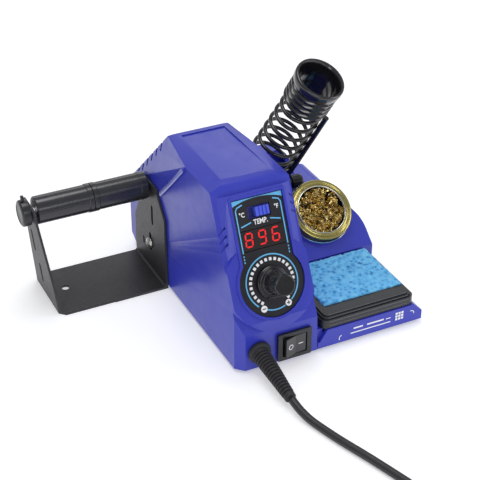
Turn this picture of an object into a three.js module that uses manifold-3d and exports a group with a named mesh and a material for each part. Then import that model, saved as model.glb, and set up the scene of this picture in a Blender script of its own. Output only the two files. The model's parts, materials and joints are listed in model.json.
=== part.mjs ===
// Soldering iron station: a moulded housing with a transformer and controls, a side deck
// with sponge tray, brass-wool tin and coil-spring iron holder, a sheet-metal solder-reel
// bracket, and the iron itself on its cord.
//
// Units are millimetres, +Z up, +X to the user's right, -Y towards the user. The numbers
// below are heights over the table. The whole group is lowered by FOOT_HEIGHT at the end, so
// the frame's origin is the centre of the base plate's underside.

import * as THREE from 'three';
import { mergeVertices } from 'three/addons/utils/BufferGeometryUtils.js';
import Module from 'manifold-3d';

const wasm = await Module();
wasm.setup();

// ---------------------------------------------------------------- driving dimensions
const GAP = 0.3;                  // clearance between pieces that touch or fit
const BASE_WIDTH = 123;           // station footprint along X
const BASE_DEPTH = 160;           // station footprint along Y
const FOOT_HEIGHT = 2;
const WALL = 2.4;                 // moulded wall thickness
const PLATE_THICKNESS = 2.5;      // base plate
const PAD_RISE = 0.3;             // flat pad for the rating label, under the base plate
const PAD_SIZE = [30, 20];

const HOUSING_WIDTH = 51.3;       // instrument housing, at its foot
const HOUSING_DRAFT = 2.2;        // inward lean of the housing's right wall at its top
const HOUSING_TOP = 104.5;        // height of the housing's top panel
const FACE_ANGLE = 65;            // control face, degrees from horizontal
const FACE_FOOT_Z = 26;           // height where the control face leaves the front wall
const FOLD_RADIUS = 9;
const CORNER_CHAMFER = 4.8;       // front-left vertical corner
const REAR_CHAMFER_HEIGHT = 6;    // chamfer along the housing's lower rear edge
const REAR_CHAMFER_DEPTH = 10;
const SIDE_BEVEL = 8.5;           // width of the strips beside the control face
const REAR_SLOPE = 56.3;          // depth of the louvred slope behind the top
const FACE_RISE = 3;              // how far the control area stands proud of those strips
const LOUVRE_COUNT = 6;
const LOUVRE_PITCH = 6.4;
const LOUVRE_WIDTH = 1.9;
const LOUVRE_DEPTH = 6.5;

const DIAL_RADIUS = 19.8;         // round end of the keyhole fascia
const FASCIA_HALF_WIDTH = 15.5;
const FASCIA_TOP = 49.5;          // fascia's top edge, up the face from the dial's centre
const FASCIA_THICKNESS = 1.2;
const BOSS_RADIUS = 28.7;         // raised round boss under the dial
const LIP_WIDTH = 1.6;            // raised lip round the fascia
const LIP_RISE = 0.9;
const KNOB_SKIRT_RADIUS = 9.7;
const KNOB_CAP_RADIUS = 6.4;
const KNOB_HEIGHT = 17;
const SHAFT_RADIUS = 3;
const DISPLAY_WIDTH = 28;
const DISPLAY_HEIGHT = 12;
const DISPLAY_UP = 25.8;          // display centre, up the face from the dial's centre
const UNIT_WINDOW_WIDTH = 14;
const UNIT_WINDOW_HEIGHT = 7.4;
const UNIT_SLIDER_WIDTH = 8.4;
const UNIT_UP = 41;               // unit switch centre, up the face

const SWITCH_WIDTH = 21.6;
const SWITCH_HEIGHT = 18.4;
const SWITCH_Z = 12.2;
const ROCKER_WIDTH = 15;
const ROCKER_HEIGHT = 12.6;

const DECK_TOP = 14;              // top of the deck's walls
const DECK_CHAMFER = 5.8;
const TRAY_TOP = 22;
const TRAY_DEPTH = 56.8;
const TRAY_WALL = 1.8;
const SPONGE_TOP = 23.4;

const BLOCK_TOP = 41;
const BLOCK_SHOULDER = 12.5;      // radius of its right-hand shoulder
const TIN_ANGLE = 50;             // elevation of the tin's axis, degrees
const TIN_LID_RADIUS = 20.2;
const TIN_DEPTH = 26;
const TIN_PROUD = 5;              // lid plane over the block's slanted face

const HOOD_HEIGHT = 22;           // above the tin block
const HOOD_WALL = 3.2;

const HOLDER_AXIS = [0.178, -0.473, 0.863];   // from the foot of the holder to its mouth
const HOLDER_LENGTH = 82;
const HOLDER_COLLAR = 23;         // length of the threaded collar at the mouth
const HOLDER_RADIUS = 15.6;
const SPRING_WIRE = 1.05;
const SPRING_TURNS = 7;
const PIN_RADIUS = 1.5;

const REEL_REACH = 71;            // how far the reel bracket stands out from the housing
const REEL_DEPTH = 49;            // width of the bracket's sheet along Y
const REEL_LEAN = 5.5;            // outward lean of its outer cheek at the roller's height
const SHEET = 1.5;
const ROLLER_RADIUS = 9;
const ROLLER_Z = 61.5;

const CORD_DIAMETER = 4.8;
const RELIEF_Z = 13.5;            // where the cord leaves the front wall
const RELIEF_LENGTH = 38;
const COIL_RADIUS = 26.4;         // middle of the turns
const COIL_HEIGHT = 12;
const IRON_Z = 9.95;              // height of the iron's axis over x = 0
const IRON_LEAN = 2.4;            // it rests on its handle and the grip's rim, tip raised

// The cord's free run from the strain relief to the coil, and its tail from the coil to the
// iron, chosen by hand. X and Y are measured from the root of the strain relief.
const CORD_RUN = [
  [1, -39.4, 6.4], [1.9, -46, 4.6], [3.8, -54, 3], [6.9, -64, 2.4],
  [11.4, -78, 2.4], [16.9, -94, 2.4], [22.4, -112, 2.4], [27.4, -130, 2.4],
  [31.8, -146, 2.4], [34.5, -161.2, 2.4],
];
const CORD_TAIL = [
  [29.2, -155.8, 9.4], [41.4, -155.4, 6.8], [54.4, -156, 3.8], [68.4, -158.4, 2.5], [84.4, -163.5, 2.5],
  [102.4, -173, 2.5], [117.4, -190, 2.6], [123.4, -211, 3.1], [117.9, -229, 5], [108.4, -238.4, 7.2], [96.3, -240, 7.95],
];

// ---------------------------------------------------------------- derived places
const LEFT = -BASE_WIDTH / 2;
const RIGHT = BASE_WIDTH / 2;
const FRONT = -BASE_DEPTH / 2;
const BACK = BASE_DEPTH / 2;
const SHELL_FOOT = FOOT_HEIGHT;                       // underside of shells and base plate
const PLATE_TOP = FOOT_HEIGHT + PLATE_THICKNESS;
const UNDERSIDE = SHELL_FOOT + PAD_RISE;              // base plate's underside round its pad
const HOUSING_RIGHT = LEFT + HOUSING_WIDTH;
const HOUSING_MID = (LEFT + HOUSING_RIGHT) / 2;
const DECK_LEFT = HOUSING_RIGHT + GAP;
const DECK_MID = (DECK_LEFT + RIGHT) / 2;
const rad = THREE.MathUtils.degToRad;
const vec = (p) => new THREE.Vector3(...p);

// Places on the housing
const FACE_LEAN = Math.tan(rad(FACE_ANGLE));
const FOLD_Y = FRONT + (HOUSING_TOP - FACE_FOOT_Z) / FACE_LEAN - 0.605;   // where the face meets the top
const REAR_RIM_Y = BACK - REAR_SLOPE;                 // where the top meets the louvred rear slope
const SWITCH_X = HOUSING_MID + 9.85;
const RELIEF_ROOT = [HOUSING_MID - 12.55, FRONT, RELIEF_Z];
const RELIEF_END = [RELIEF_ROOT[0] + 0.9, FRONT - RELIEF_LENGTH, RELIEF_Z - 6.9];

// Places on the side deck and the tin block
const BLOCK_FRONT = FRONT + TRAY_DEPTH + 1.8;
const BLOCK_BACK = BACK - 8;
const TRAY_LEFT = DECK_LEFT + 3.3;
const TRAY_RIGHT = RIGHT - 5.5;
const TRAY_FRONT = FRONT + 0.8;
const TRAY_BACK = TRAY_FRONT + TRAY_DEPTH;
const SPONGE = { x0: TRAY_LEFT + 6.8, x1: TRAY_RIGHT - 2.6, y0: TRAY_FRONT + 11.2, y1: TRAY_BACK - 2.2 };
const TIN_CENTRE = [DECK_MID + 7.9, BLOCK_FRONT + 18.6, BLOCK_TOP + 2.8];
const TIN_RADIUS = TIN_LID_RADIUS - 1.6;
const TIN_OPENING_RADIUS = TIN_LID_RADIUS - 4.6;

// Places on the hood and the holder
const HOOD_X = DECK_MID - 5.8;
const HOOD_HALF_WIDTH = (RIGHT - DECK_LEFT) / 2 - 13.7;
const HOOD_FRONT = BLOCK_BACK - 24;
const HOOD_BACK = BLOCK_BACK - 13;
const HOOD_TOP = BLOCK_TOP + HOOD_HEIGHT;
const HOOD_SHOULDER = BLOCK_TOP + 11;
const LEDGE_TOP = BLOCK_TOP + 4;
const SPRING_RADIUS = HOLDER_RADIUS - 3;
const PIVOT = [HOOD_X + 1, HOOD_FRONT - 15.5, BLOCK_TOP + 5.4];          // the holder tilts about X here
const HOLDER_FOOT = [HOOD_X - 5.2, HOOD_FRONT - 13.4, BLOCK_TOP + 23.7];  // centre of the lowest coil

// Places on the reel bracket
const REEL_FRONT = BACK - 61;
const REEL_BACK = REEL_FRONT + REEL_DEPTH;
const ROLLER_Y = REEL_FRONT + 27;
const REEL_SCREW = [ROLLER_Y - 3.4, 21.2];            // Y and Z of the screw that holds the bracket

// Places on the table, measured from the root of the strain relief
const onTable = ([x, y, z]) => [RELIEF_ROOT[0] + x, RELIEF_ROOT[1] + y, z];
const COIL_CENTRE = onTable([8.4, -182, 0]);
const IRON_ORIGIN = onTable([48.4, -240, IRON_Z]);

const FACE_NORMAL = new THREE.Vector3(0, -Math.sin(rad(FACE_ANGLE)), Math.cos(rad(FACE_ANGLE)));
const FACE_UP = new THREE.Vector3(0, Math.cos(rad(FACE_ANGLE)), Math.sin(rad(FACE_ANGLE)));
const TIN_AXIS = new THREE.Vector3(0, -Math.cos(rad(TIN_ANGLE)), Math.sin(rad(TIN_ANGLE)));
const X_AXIS = new THREE.Vector3(1, 0, 0);
const Y_AXIS = new THREE.Vector3(0, 1, 0);
const Z_AXIS = new THREE.Vector3(0, 0, 1);

// A frame is a matrix whose third axis is the normal of a working plane.
function frameAt(origin, xAxis, normal) {
  const n = normal.clone().normalize();
  const y = new THREE.Vector3().crossVectors(n, xAxis).normalize();
  const x = new THREE.Vector3().crossVectors(y, n);
  return new THREE.Matrix4().makeBasis(x, y, n).setPosition(...origin);
}
const DIAL_HEIGHT = 50.65;
const DIAL_Y = FRONT + (DIAL_HEIGHT - FACE_FOOT_Z) / FACE_LEAN;
const dialFrame = frameAt([HOUSING_MID, DIAL_Y, DIAL_HEIGHT], X_AXIS, FACE_NORMAL);
const tinFrame = frameAt(TIN_CENTRE, X_AXIS, TIN_AXIS);
const holderAxis = vec(HOLDER_AXIS).normalize();
const holderFrame = frameAt(HOLDER_FOOT, X_AXIS, holderAxis);
const xzFrame = frameAt([0, 0, 0], X_AXIS, new THREE.Vector3(0, -1, 0));   // x, z, -y
const yzFrame = frameAt([0, 0, 0], Y_AXIS, X_AXIS);                         // y, z, x

// ---------------------------------------------------------------- solids
function solid(geometry, matrix) {
  const g = geometry.clone();
  g.deleteAttribute('normal');
  g.deleteAttribute('uv');
  if (matrix) g.applyMatrix4(matrix);
  const m = mergeVertices(g, 1e-4);
  return new wasm.Manifold(new wasm.Mesh({
    numProp: 3,
    vertProperties: new Float32Array(m.attributes.position.array),
    triVerts: new Uint32Array(m.index.array),
  }));
}
const join = (first, ...rest) => rest.reduce((a, b) => a.add(b), first);
const cut = (first, ...rest) => rest.reduce((a, b) => a.subtract(b), first);
const common = (first, ...rest) => rest.reduce((a, b) => a.intersect(b), first);

function box(low, high) {
  const size = vec(high).sub(vec(low));
  const g = new THREE.BoxGeometry(size.x, size.y, size.z);
  const mid = vec(low).add(vec(high)).multiplyScalar(0.5);
  return solid(g, new THREE.Matrix4().setPosition(mid));
}
// An outline extruded along a frame's normal, from n0 to n1.
function plate(frame, shape, n0, n1, curveSegments = 12) {
  const g = new THREE.ExtrudeGeometry(shape, { depth: n1 - n0, bevelEnabled: false, curveSegments });
  return solid(g, frame.clone().multiply(new THREE.Matrix4().makeTranslation(0, 0, n0)));
}
const polygon = (points) => new THREE.Shape(points.map(([x, y]) => new THREE.Vector2(x, y)));
function roundedRectangle(cx, cy, width, height, radius) {
  const s = new THREE.Shape();
  const [x0, x1, y0, y1] = [cx - width / 2, cx + width / 2, cy - height / 2, cy + height / 2];
  s.moveTo(x0 + radius, y0).lineTo(x1 - radius, y0);
  s.absarc(x1 - radius, y0 + radius, radius, -Math.PI / 2, 0, false);
  s.lineTo(x1, y1 - radius);
  s.absarc(x1 - radius, y1 - radius, radius, 0, Math.PI / 2, false);
  s.lineTo(x0 + radius, y1);
  s.absarc(x0 + radius, y1 - radius, radius, Math.PI / 2, Math.PI, false);
  s.lineTo(x0, y0 + radius);
  s.absarc(x0 + radius, y0 + radius, radius, Math.PI, 1.5 * Math.PI, false);
  return s;
}
const acrossX = (points, x0, x1) => plate(yzFrame, polygon(points), x0, x1);
const acrossY = (shape, y0, y1, segments) => plate(xzFrame, shape, -y1, -y0, segments);
function upright(shape, z0, z1, segments) {
  return plate(new THREE.Matrix4(), shape, z0, z1, segments);
}
// A cylinder or cone about a frame's normal.
function round(frame, r0, r1, n0, n1, sides = 32) {
  const g = new THREE.CylinderGeometry(r1, r0, n1 - n0, sides);
  g.rotateX(Math.PI / 2).translate(0, 0, (n0 + n1) / 2);
  return solid(g, frame);
}
// A turned piece about a frame's normal: profile points are [radius, height].
function turned(frame, profile, sides = 32) {
  const g = new THREE.LatheGeometry(profile.map(([r, z]) => new THREE.Vector2(r, z)), sides);
  g.rotateX(Math.PI / 2);
  const s = solid(g, frame);
  return s.volume() < 0 ? solid(flipped(g), frame) : s;
}
function flipped(geometry) {
  const g = geometry.clone();
  const a = g.index.array;
  for (let i = 0; i < a.length; i += 3) [a[i], a[i + 1]] = [a[i + 1], a[i]];
  return g;
}
function ngon(radius, sides) {
  const points = [];
  for (let i = 0; i < sides; i += 1) {
    const t = 2 * Math.PI * (i / sides);
    points.push([radius * Math.cos(t), radius * Math.sin(t)]);
  }
  return polygon(points);
}
function tube(points, radius, sides, steps) {
  const path = new THREE.CatmullRomCurve3(points.map(vec), false, 'centripetal');
  return solid(new THREE.ExtrudeGeometry(ngon(radius, sides), { extrudePath: path, steps }));
}
// Removes whatever lies beyond the plane through point with this normal.
const FAR = 700;
function trim(body, point, normal) {
  const n = normal.clone().normalize();
  const m = new THREE.Matrix4().makeRotationFromQuaternion(
    new THREE.Quaternion().setFromUnitVectors(Z_AXIS, n));
  m.setPosition(vec(point).addScaledVector(n, FAR / 2));
  return body.subtract(solid(new THREE.BoxGeometry(FAR, FAR, FAR), m));
}

const station = new THREE.Group();
function part(name, body, color, roughness = 0.5, metalness = 0) {
  const mesh = body.getMesh();
  const g = new THREE.BufferGeometry();
  g.setAttribute('position', new THREE.BufferAttribute(mesh.vertProperties, 3));
  g.setIndex(new THREE.BufferAttribute(mesh.triVerts, 1));
  g.computeVertexNormals();
  const material = new THREE.MeshStandardMaterial({ color, roughness, metalness });
  const object = new THREE.Mesh(g, material);
  object.name = name;
  station.add(object);
  return object;
}
const BLUE = 0x3a44a8;
const BLACK = 0x1d1d21;
const STEEL = 0xb8bcc2;

// ---------------------------------------------------------------- housing
// The shell is a convex body bounded by these planes; the cavity is the same body with each
// plane moved in by the wall.
function housingPlanes() {
  const planes = [];
  const rightLean = new THREE.Vector3(HOUSING_TOP, 0, HOUSING_DRAFT);
  const top = [HOUSING_MID, FOLD_Y, HOUSING_TOP];
  planes.push([[LEFT, 0, 0], new THREE.Vector3(-1, 0, 0)]);
  planes.push([[HOUSING_RIGHT, 0, 0], rightLean]);
  planes.push([[0, FRONT, 0], new THREE.Vector3(0, -1, 0)]);
  planes.push([[0, FRONT, FACE_FOOT_Z], FACE_NORMAL]);
  planes.push([top, Z_AXIS]);
  planes.push([[0, REAR_RIM_Y, HOUSING_TOP], new THREE.Vector3(0, 1, 1)]);
  planes.push([[0, BACK, 0], Y_AXIS]);
  planes.push([[0, BACK, SHELL_FOOT + REAR_CHAMFER_HEIGHT],
    new THREE.Vector3(0, REAR_CHAMFER_HEIGHT, -REAR_CHAMFER_DEPTH)]);
  planes.push([[LEFT, FRONT + CORNER_CHAMFER, 0], new THREE.Vector3(-1, -1, 0)]);
  // The fold between the face and the top is rounded with tangent planes.
  const half = rad(FACE_ANGLE) / 2;
  const edge = new THREE.Vector3(0, FRONT + (HOUSING_TOP - FACE_FOOT_Z) / FACE_LEAN, HOUSING_TOP);
  const inward = FACE_NORMAL.clone().add(Z_AXIS).normalize().multiplyScalar(-FOLD_RADIUS / Math.cos(half));
  const centre = edge.clone().add(inward);
  const FOLD_STEPS = 4;
  for (let i = 1; i < FOLD_STEPS; i += 1) {
    const tilt = rad(FACE_ANGLE) * (i / FOLD_STEPS);
    const n = new THREE.Vector3(0, -Math.sin(tilt), Math.cos(tilt));
    planes.push([centre.clone().addScaledVector(n, FOLD_RADIUS).toArray(), n]);
  }
  // Shallow bevels run along both edges of the top and narrow towards the rear, and a
  // triangular facet draws the upper rear corner in on each side.
  for (const side of [-1, 1]) {
    const wallX = side < 0 ? LEFT : HOUSING_RIGHT - HOUSING_DRAFT;
    const a = new THREE.Vector3(wallX - side * 11, FOLD_Y, HOUSING_TOP);
    const b = new THREE.Vector3(wallX - side * 8, REAR_RIM_Y, HOUSING_TOP);
    const c = new THREE.Vector3(wallX, FOLD_Y, HOUSING_TOP - 2.8);
    planes.push([a.toArray(), facing(a, b, c)]);
    const d = new THREE.Vector3(wallX, -12, HOUSING_TOP - 2.4);
    const e = new THREE.Vector3(wallX - side * 4.6, REAR_RIM_Y, HOUSING_TOP - 1.6);
    const f = new THREE.Vector3(side < 0 ? LEFT : HOUSING_RIGHT - 1, BACK,
      HOUSING_TOP - (BACK - REAR_RIM_Y));
    planes.push([d.toArray(), facing(d, e, f)]);
  }
  return planes;
}
// The outward normal of the plane through three points of the housing's skin.
function facing(a, b, c) {
  const n = new THREE.Vector3().crossVectors(b.clone().sub(a), c.clone().sub(a)).normalize();
  const out = a.clone().sub(new THREE.Vector3(HOUSING_MID, 0, HOUSING_TOP / 2));
  return n.dot(out) < 0 ? n.negate() : n;
}
function housingBody(inset, footZ) {
  let body = box([LEFT - 1, FRONT - 1, footZ], [HOUSING_RIGHT + 1, BACK + 1, HOUSING_TOP + 9]);
  for (const [point, normal] of housingPlanes()) {
    const n = normal.clone().normalize();
    body = trim(body, vec(point).addScaledVector(n, -inset).toArray(), n);
  }
  return body;
}
// Keyhole outline on the dial frame: a strip that runs into a disc, grown by `offset`.
function keyhole(offset) {
  const half = FASCIA_HALF_WIDTH + offset;
  const radius = DIAL_RADIUS + offset;
  const start = Math.acos(half / radius);
  const s = new THREE.Shape();
  s.moveTo(-half, FASCIA_TOP + offset);
  s.lineTo(-half, radius * Math.sin(start));
  s.absarc(0, 0, radius, Math.PI - start, 2 * Math.PI + start, false);
  s.lineTo(half, FASCIA_TOP + offset);
  return s;
}
const RECESS_FLOOR = FACE_RISE - FASCIA_THICKNESS - GAP;    // under the fascia
function controlRise() {
  const half = HOUSING_WIDTH / 2 - SIDE_BEVEL;
  const strip = polygon([[-half, 0], [half, 0], [half, FASCIA_TOP + 3.4], [-half, FASCIA_TOP + 3.4]]);
  const foot = polygon([[-half - 7, 0], [half + 7, 0], [half + 7, FASCIA_TOP + 3.4],
    [-half - 7, FASCIA_TOP + 3.4]]);
  // The strip's flanks slope down to the bevels: two flank planes trim a wider slab.
  let slab = plate(dialFrame, foot, -1, FACE_RISE);
  for (const side of [-1, 1]) {
    const x = new THREE.Vector3(side * FACE_RISE, 0, 0);
    const n = x.addScaledVector(FACE_NORMAL, 5.5);
    const at = new THREE.Vector3(side * half, 0, FACE_RISE).applyMatrix4(dialFrame);
    slab = trim(slab, at.toArray(), n);
  }
  const boss = round(dialFrame, BOSS_RADIUS, BOSS_RADIUS - 1.2, -1, FACE_RISE, 36);
  const body = join(slab, boss, plate(dialFrame, strip, -1, FACE_RISE));
  let kept = trim(body, [0, FRONT, 0], new THREE.Vector3(0, -1, 0));
  kept = trim(kept, [LEFT, 0, 0], new THREE.Vector3(-1, 0, 0));
  return trim(kept, [HOUSING_RIGHT, 0, 0], new THREE.Vector3(HOUSING_TOP, 0, HOUSING_DRAFT));
}
function diagonalGrooves() {
  const tools = [];
  for (const side of [-1, 1]) {
    for (let i = 0; i < 3; i += 1) {
      const up = side < 0 ? 34 - i * 4.6 : 44 - i * 4.6;
      const across = side * (HOUSING_WIDTH / 2 - 2.4);
      const at = new THREE.Vector3(across, up, 0.2).applyMatrix4(dialFrame);
      const m = dialFrame.clone().setPosition(at)
        .multiply(new THREE.Matrix4().makeRotationZ(side * rad(-38)));
      tools.push(solid(new THREE.BoxGeometry(8, 1.1, 1.6), m));
    }
  }
  return tools;
}
function louvres() {
  const tools = [];
  for (let i = 0; i < LOUVRE_COUNT; i += 1) {
    const y = REAR_RIM_Y + 7.6 + i * LOUVRE_PITCH;
    const z = HOUSING_TOP + REAR_RIM_Y - y;
    for (const [x0, x1] of [[LEFT - 1, HOUSING_MID - 3], [HOUSING_MID + 3, HOUSING_RIGHT + 1]]) {
      tools.push(box([x0, y, z - LOUVRE_DEPTH], [x1, y + LOUVRE_WIDTH, z + 4]));
    }
  }
  return tools;
}
function mainHousing() {
  let body = join(housingBody(0, SHELL_FOOT), controlRise());
  // The wall beside the deck stops over the base plate, which runs through under it.
  const passage = box([HOUSING_RIGHT - 2 * WALL, FRONT + WALL, 0],
    [HOUSING_RIGHT + 1, BACK + 1, PLATE_TOP + GAP]);
  body = cut(body, housingBody(WALL, -9), passage);
  body = join(body, plate(dialFrame, keyhole(LIP_WIDTH + GAP), RECESS_FLOOR, FACE_RISE + LIP_RISE));
  body = cut(body, plate(dialFrame, keyhole(GAP), RECESS_FLOOR, 20));
  // The top panel sits in a shallow recess between the side bevels.
  const topPanel = polygon([[HOUSING_MID - 15.6, FOLD_Y + 7], [HOUSING_MID + 15.6, FOLD_Y + 7],
    [HOUSING_MID + 14, REAR_RIM_Y - 3.5], [HOUSING_MID - 14, REAR_RIM_Y - 3.5]]);
  body = cut(body, upright(topPanel, HOUSING_TOP - 0.7, HOUSING_TOP + 5));
  // A thin raised rib crosses the left wall.
  const rib = common(acrossX([[-12, 101], [-9.4, 101], [26.6, 65.2], [24.8, 64.4]],
    LEFT - 1.2, LEFT + 1), box([LEFT - 2, -40, 0], [LEFT + 2, 60, HOUSING_TOP - 4]));
  body = join(body, rib);
  body = cut(body, ...louvres(), ...diagonalGrooves());
  // Openings: shaft, display, unit switch, power switch, strain relief, mains inlet.
  body = cut(body,
    round(dialFrame, SHAFT_RADIUS + 1, SHAFT_RADIUS + 1, -9, 9, 18),
    plate(dialFrame, roundedRectangle(0, DISPLAY_UP, DISPLAY_WIDTH + 1, DISPLAY_HEIGHT + 1, 0.5), -9, 9, 2),
    plate(dialFrame, roundedRectangle(0, UNIT_UP, UNIT_WINDOW_WIDTH + 1, UNIT_WINDOW_HEIGHT + 1, 0.5),
      -9, 9, 2),
    box([SWITCH_X - SWITCH_WIDTH / 2 + 1.4, FRONT - 5, SWITCH_Z - SWITCH_HEIGHT / 2 + 1.4],
      [SWITCH_X + SWITCH_WIDTH / 2 - 1.4, FRONT + 9, SWITCH_Z + SWITCH_HEIGHT / 2 - 1.4]),
    round(reliefRoot, RELIEF_NECK + GAP, RELIEF_NECK + GAP, -9, 5, 18),
    box([HOUSING_MID - INLET_WIDTH / 2 - GAP, BACK - 9, INLET_Z - INLET_HEIGHT / 2 - GAP],
      [HOUSING_MID + INLET_WIDTH / 2 + GAP, BACK + 5, INLET_Z + INLET_HEIGHT / 2 + GAP]));
  // Screw bosses stand on the left wall, and posts carry the control board.
  const posts = [[-13.5, 48], [13.5, 48], [-13.5, -9], [13.5, -9]].map(([x, y]) => {
    const at = new THREE.Vector3(x, y, 0).applyMatrix4(dialFrame);
    return round(frameAt(at.toArray(), X_AXIS, FACE_NORMAL), 1.9, 1.9, BOARD_FACE + GAP, -WALL + 0.2, 8);
  });
  body = join(body, screwBoss('front_left'), screwBoss('rear_left'), ...posts);
  return cut(body, screwHole('front_left'), screwHole('rear_left'),
    round(frameAt([LEFT, REEL_SCREW[0], REEL_SCREW[1]], Y_AXIS, X_AXIS), 1.6, 1.6, -3, 6, 16));
}
const BOARD_FACE = -8;            // component side of the control board
const SCREW_RADIUS = 1.5;
const SCREW_TOP = PLATE_TOP + 3.2;
const SCREWS = {
  front_left: [LEFT + 6.2, FRONT + 30], rear_left: [LEFT + 6.2, BACK - 22],
  front_right: [RIGHT - 12, FRONT + 24], rear_right: [RIGHT - 6.5, BACK - 42],
};
const standing = ([x, y]) => frameAt([x, y, 0], X_AXIS, Z_AXIS);
const screwHole = (place) => round(standing(SCREWS[place]), SCREW_RADIUS + GAP, SCREW_RADIUS + GAP,
  0, SCREW_TOP + GAP, 12);
const screwBoss = (place) => round(standing(SCREWS[place]), 4, 4, PLATE_TOP + GAP, PLATE_TOP + 13, 14);
const RELIEF_NECK = 4.6;
const reliefRoot = frameAt(RELIEF_ROOT, X_AXIS, new THREE.Vector3(0, -1, 0));
const INLET_WIDTH = 27;
const INLET_HEIGHT = 20;
const INLET_Z = 26;

// ---------------------------------------------------------------- control face
function fascia() {
  return cut(plate(dialFrame, keyhole(0), RECESS_FLOOR + GAP, FACE_RISE),
    round(dialFrame, SHAFT_RADIUS + 0.8, SHAFT_RADIUS + 0.8, -5, 9, 18),
    plate(dialFrame, roundedRectangle(0, DISPLAY_UP, DISPLAY_WIDTH, DISPLAY_HEIGHT, 0.5), -5, 9, 2),
    plate(dialFrame, roundedRectangle(0, UNIT_UP, UNIT_WINDOW_WIDTH, UNIT_WINDOW_HEIGHT, 0.5), -5, 9, 2));
}
function displayModule() {
  return plate(dialFrame, roundedRectangle(0, DISPLAY_UP, DISPLAY_WIDTH - 2 * GAP,
    DISPLAY_HEIGHT - 2 * GAP, 0.4), -6, FACE_RISE - 0.2, 2);
}
function unitSwitchBody() {
  const frame = plate(dialFrame, roundedRectangle(0, UNIT_UP, UNIT_WINDOW_WIDTH - 2 * GAP,
    UNIT_WINDOW_HEIGHT - 2 * GAP, 0.4), BOARD_FACE + GAP, FACE_RISE - 0.6, 2);
  const trough = plate(dialFrame, roundedRectangle(0, UNIT_UP, UNIT_WINDOW_WIDTH - 2 * GAP - 1,
    UNIT_WINDOW_HEIGHT - 2 * GAP - 1, 0.3), 0, 9, 2);
  return cut(frame, trough);
}
const UNIT_TRAVEL = UNIT_WINDOW_WIDTH - 2 * GAP - 1 - UNIT_SLIDER_WIDTH - 2 * GAP;
function unitSlider() {
  const x = UNIT_TRAVEL / 2;
  let body = plate(dialFrame, roundedRectangle(x, UNIT_UP, UNIT_SLIDER_WIDTH,
    UNIT_WINDOW_HEIGHT - 4 * GAP - 1, 0.3), GAP, FACE_RISE + 1.4, 2);
  for (let i = -1; i <= 1; i += 1) {
    body = cut(body, plate(dialFrame, roundedRectangle(x + i * 2.2, UNIT_UP, 0.9, 20, 0.1),
      FACE_RISE + 0.5, 9, 1));
  }
  return body;
}
function potentiometer() {
  const can = round(dialFrame, 8, 8, BOARD_FACE + GAP, -0.9 - WALL, 20);
  return cut(can, round(dialFrame, SHAFT_RADIUS + GAP, SHAFT_RADIUS + GAP, -5.5, 9, 14));
}
function shaft() {
  return round(dialFrame, SHAFT_RADIUS, SHAFT_RADIUS, -5, FACE_RISE + 13, 14);
}
function knob() {
  const foot = FACE_RISE + 0.6;
  const profile = [[0, foot], [KNOB_SKIRT_RADIUS - 0.5, foot], [KNOB_SKIRT_RADIUS, foot + 0.6],
    [KNOB_SKIRT_RADIUS, foot + 2.4], [KNOB_CAP_RADIUS + 0.9, foot + 4.6],
    [KNOB_CAP_RADIUS + 0.3, foot + 6], [KNOB_CAP_RADIUS, foot + KNOB_HEIGHT - 1],
    [KNOB_CAP_RADIUS - 1, foot + KNOB_HEIGHT], [0, foot + KNOB_HEIGHT]];
  return cut(turned(dialFrame, profile, 22),
    round(dialFrame, SHAFT_RADIUS + GAP, SHAFT_RADIUS + GAP, 0, FACE_RISE + 13 + GAP, 14));
}
function controlBoard() {
  return plate(dialFrame, roundedRectangle(0, 20, 33, 66, 1), BOARD_FACE - 1.6, BOARD_FACE, 2);
}
part('main_housing', mainHousing(), BLUE, 0.42);
part('control_fascia', fascia(), 0x141419, 0.3);
part('display_module', displayModule(), 0x1a0505, 0.15);
part('unit_switch_body', unitSwitchBody(), 0x20206a, 0.4);
part('unit_slider', unitSlider(), 0x3c4ccc, 0.35);
part('temperature_knob', knob(), 0x17171a, 0.35);
part('potentiometer_shaft', shaft(), STEEL, 0.35, 0.9);
part('potentiometer_body', potentiometer(), 0x8f9498, 0.4, 0.8);
part('control_board', controlBoard(), 0x14532d, 0.6);

// ---------------------------------------------------------------- power switch
function switchBody() {
  const h = SWITCH_HEIGHT / 2;
  const w = SWITCH_WIDTH / 2;
  const rim = acrossY(roundedRectangle(SWITCH_X, SWITCH_Z, SWITCH_WIDTH, SWITCH_HEIGHT, 1),
    FRONT - GAP - 1.7, FRONT - GAP, 4);
  const can = box([SWITCH_X - w + 1.4 + GAP, FRONT - GAP - 0.1, SWITCH_Z - h + 1.4 + GAP],
    [SWITCH_X + w - 1.4 - GAP, FRONT + 14, SWITCH_Z + h - 1.4 - GAP]);
  const well = box([SWITCH_X - ROCKER_WIDTH / 2 - GAP, FRONT - 9, SWITCH_Z - ROCKER_HEIGHT / 2 - GAP],
    [SWITCH_X + ROCKER_WIDTH / 2 + GAP, FRONT + 9, SWITCH_Z + ROCKER_HEIGHT / 2 + GAP]);
  return cut(join(rim, can), well);
}
// The rocker's front is a shallow V. It is turned about its pivot so that its right half is
// pressed in and its left half stands out.
const ROCKER_TILT = 11;
const ROCKER_Y = FRONT - 1;       // the pivot, level with the rim
function rocker() {
  const w = ROCKER_WIDTH / 2 - GAP;
  const c = Math.cos(rad(ROCKER_TILT));
  const k = Math.sin(rad(ROCKER_TILT));
  const outline = [[-w, 1.6], [-3.4, 6], [3.4, 6], [w, 1.6], [w, -2], [0, -1.2], [-w, -2]]
    .map(([x, y]) => [SWITCH_X + x * c - y * k, ROCKER_Y + x * k + y * c]);
  return upright(polygon(outline), SWITCH_Z - ROCKER_HEIGHT / 2, SWITCH_Z + ROCKER_HEIGHT / 2);
}
part('power_switch_body', switchBody(), BLACK, 0.45);
part('power_rocker', rocker(), 0x18181b, 0.35);

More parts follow.
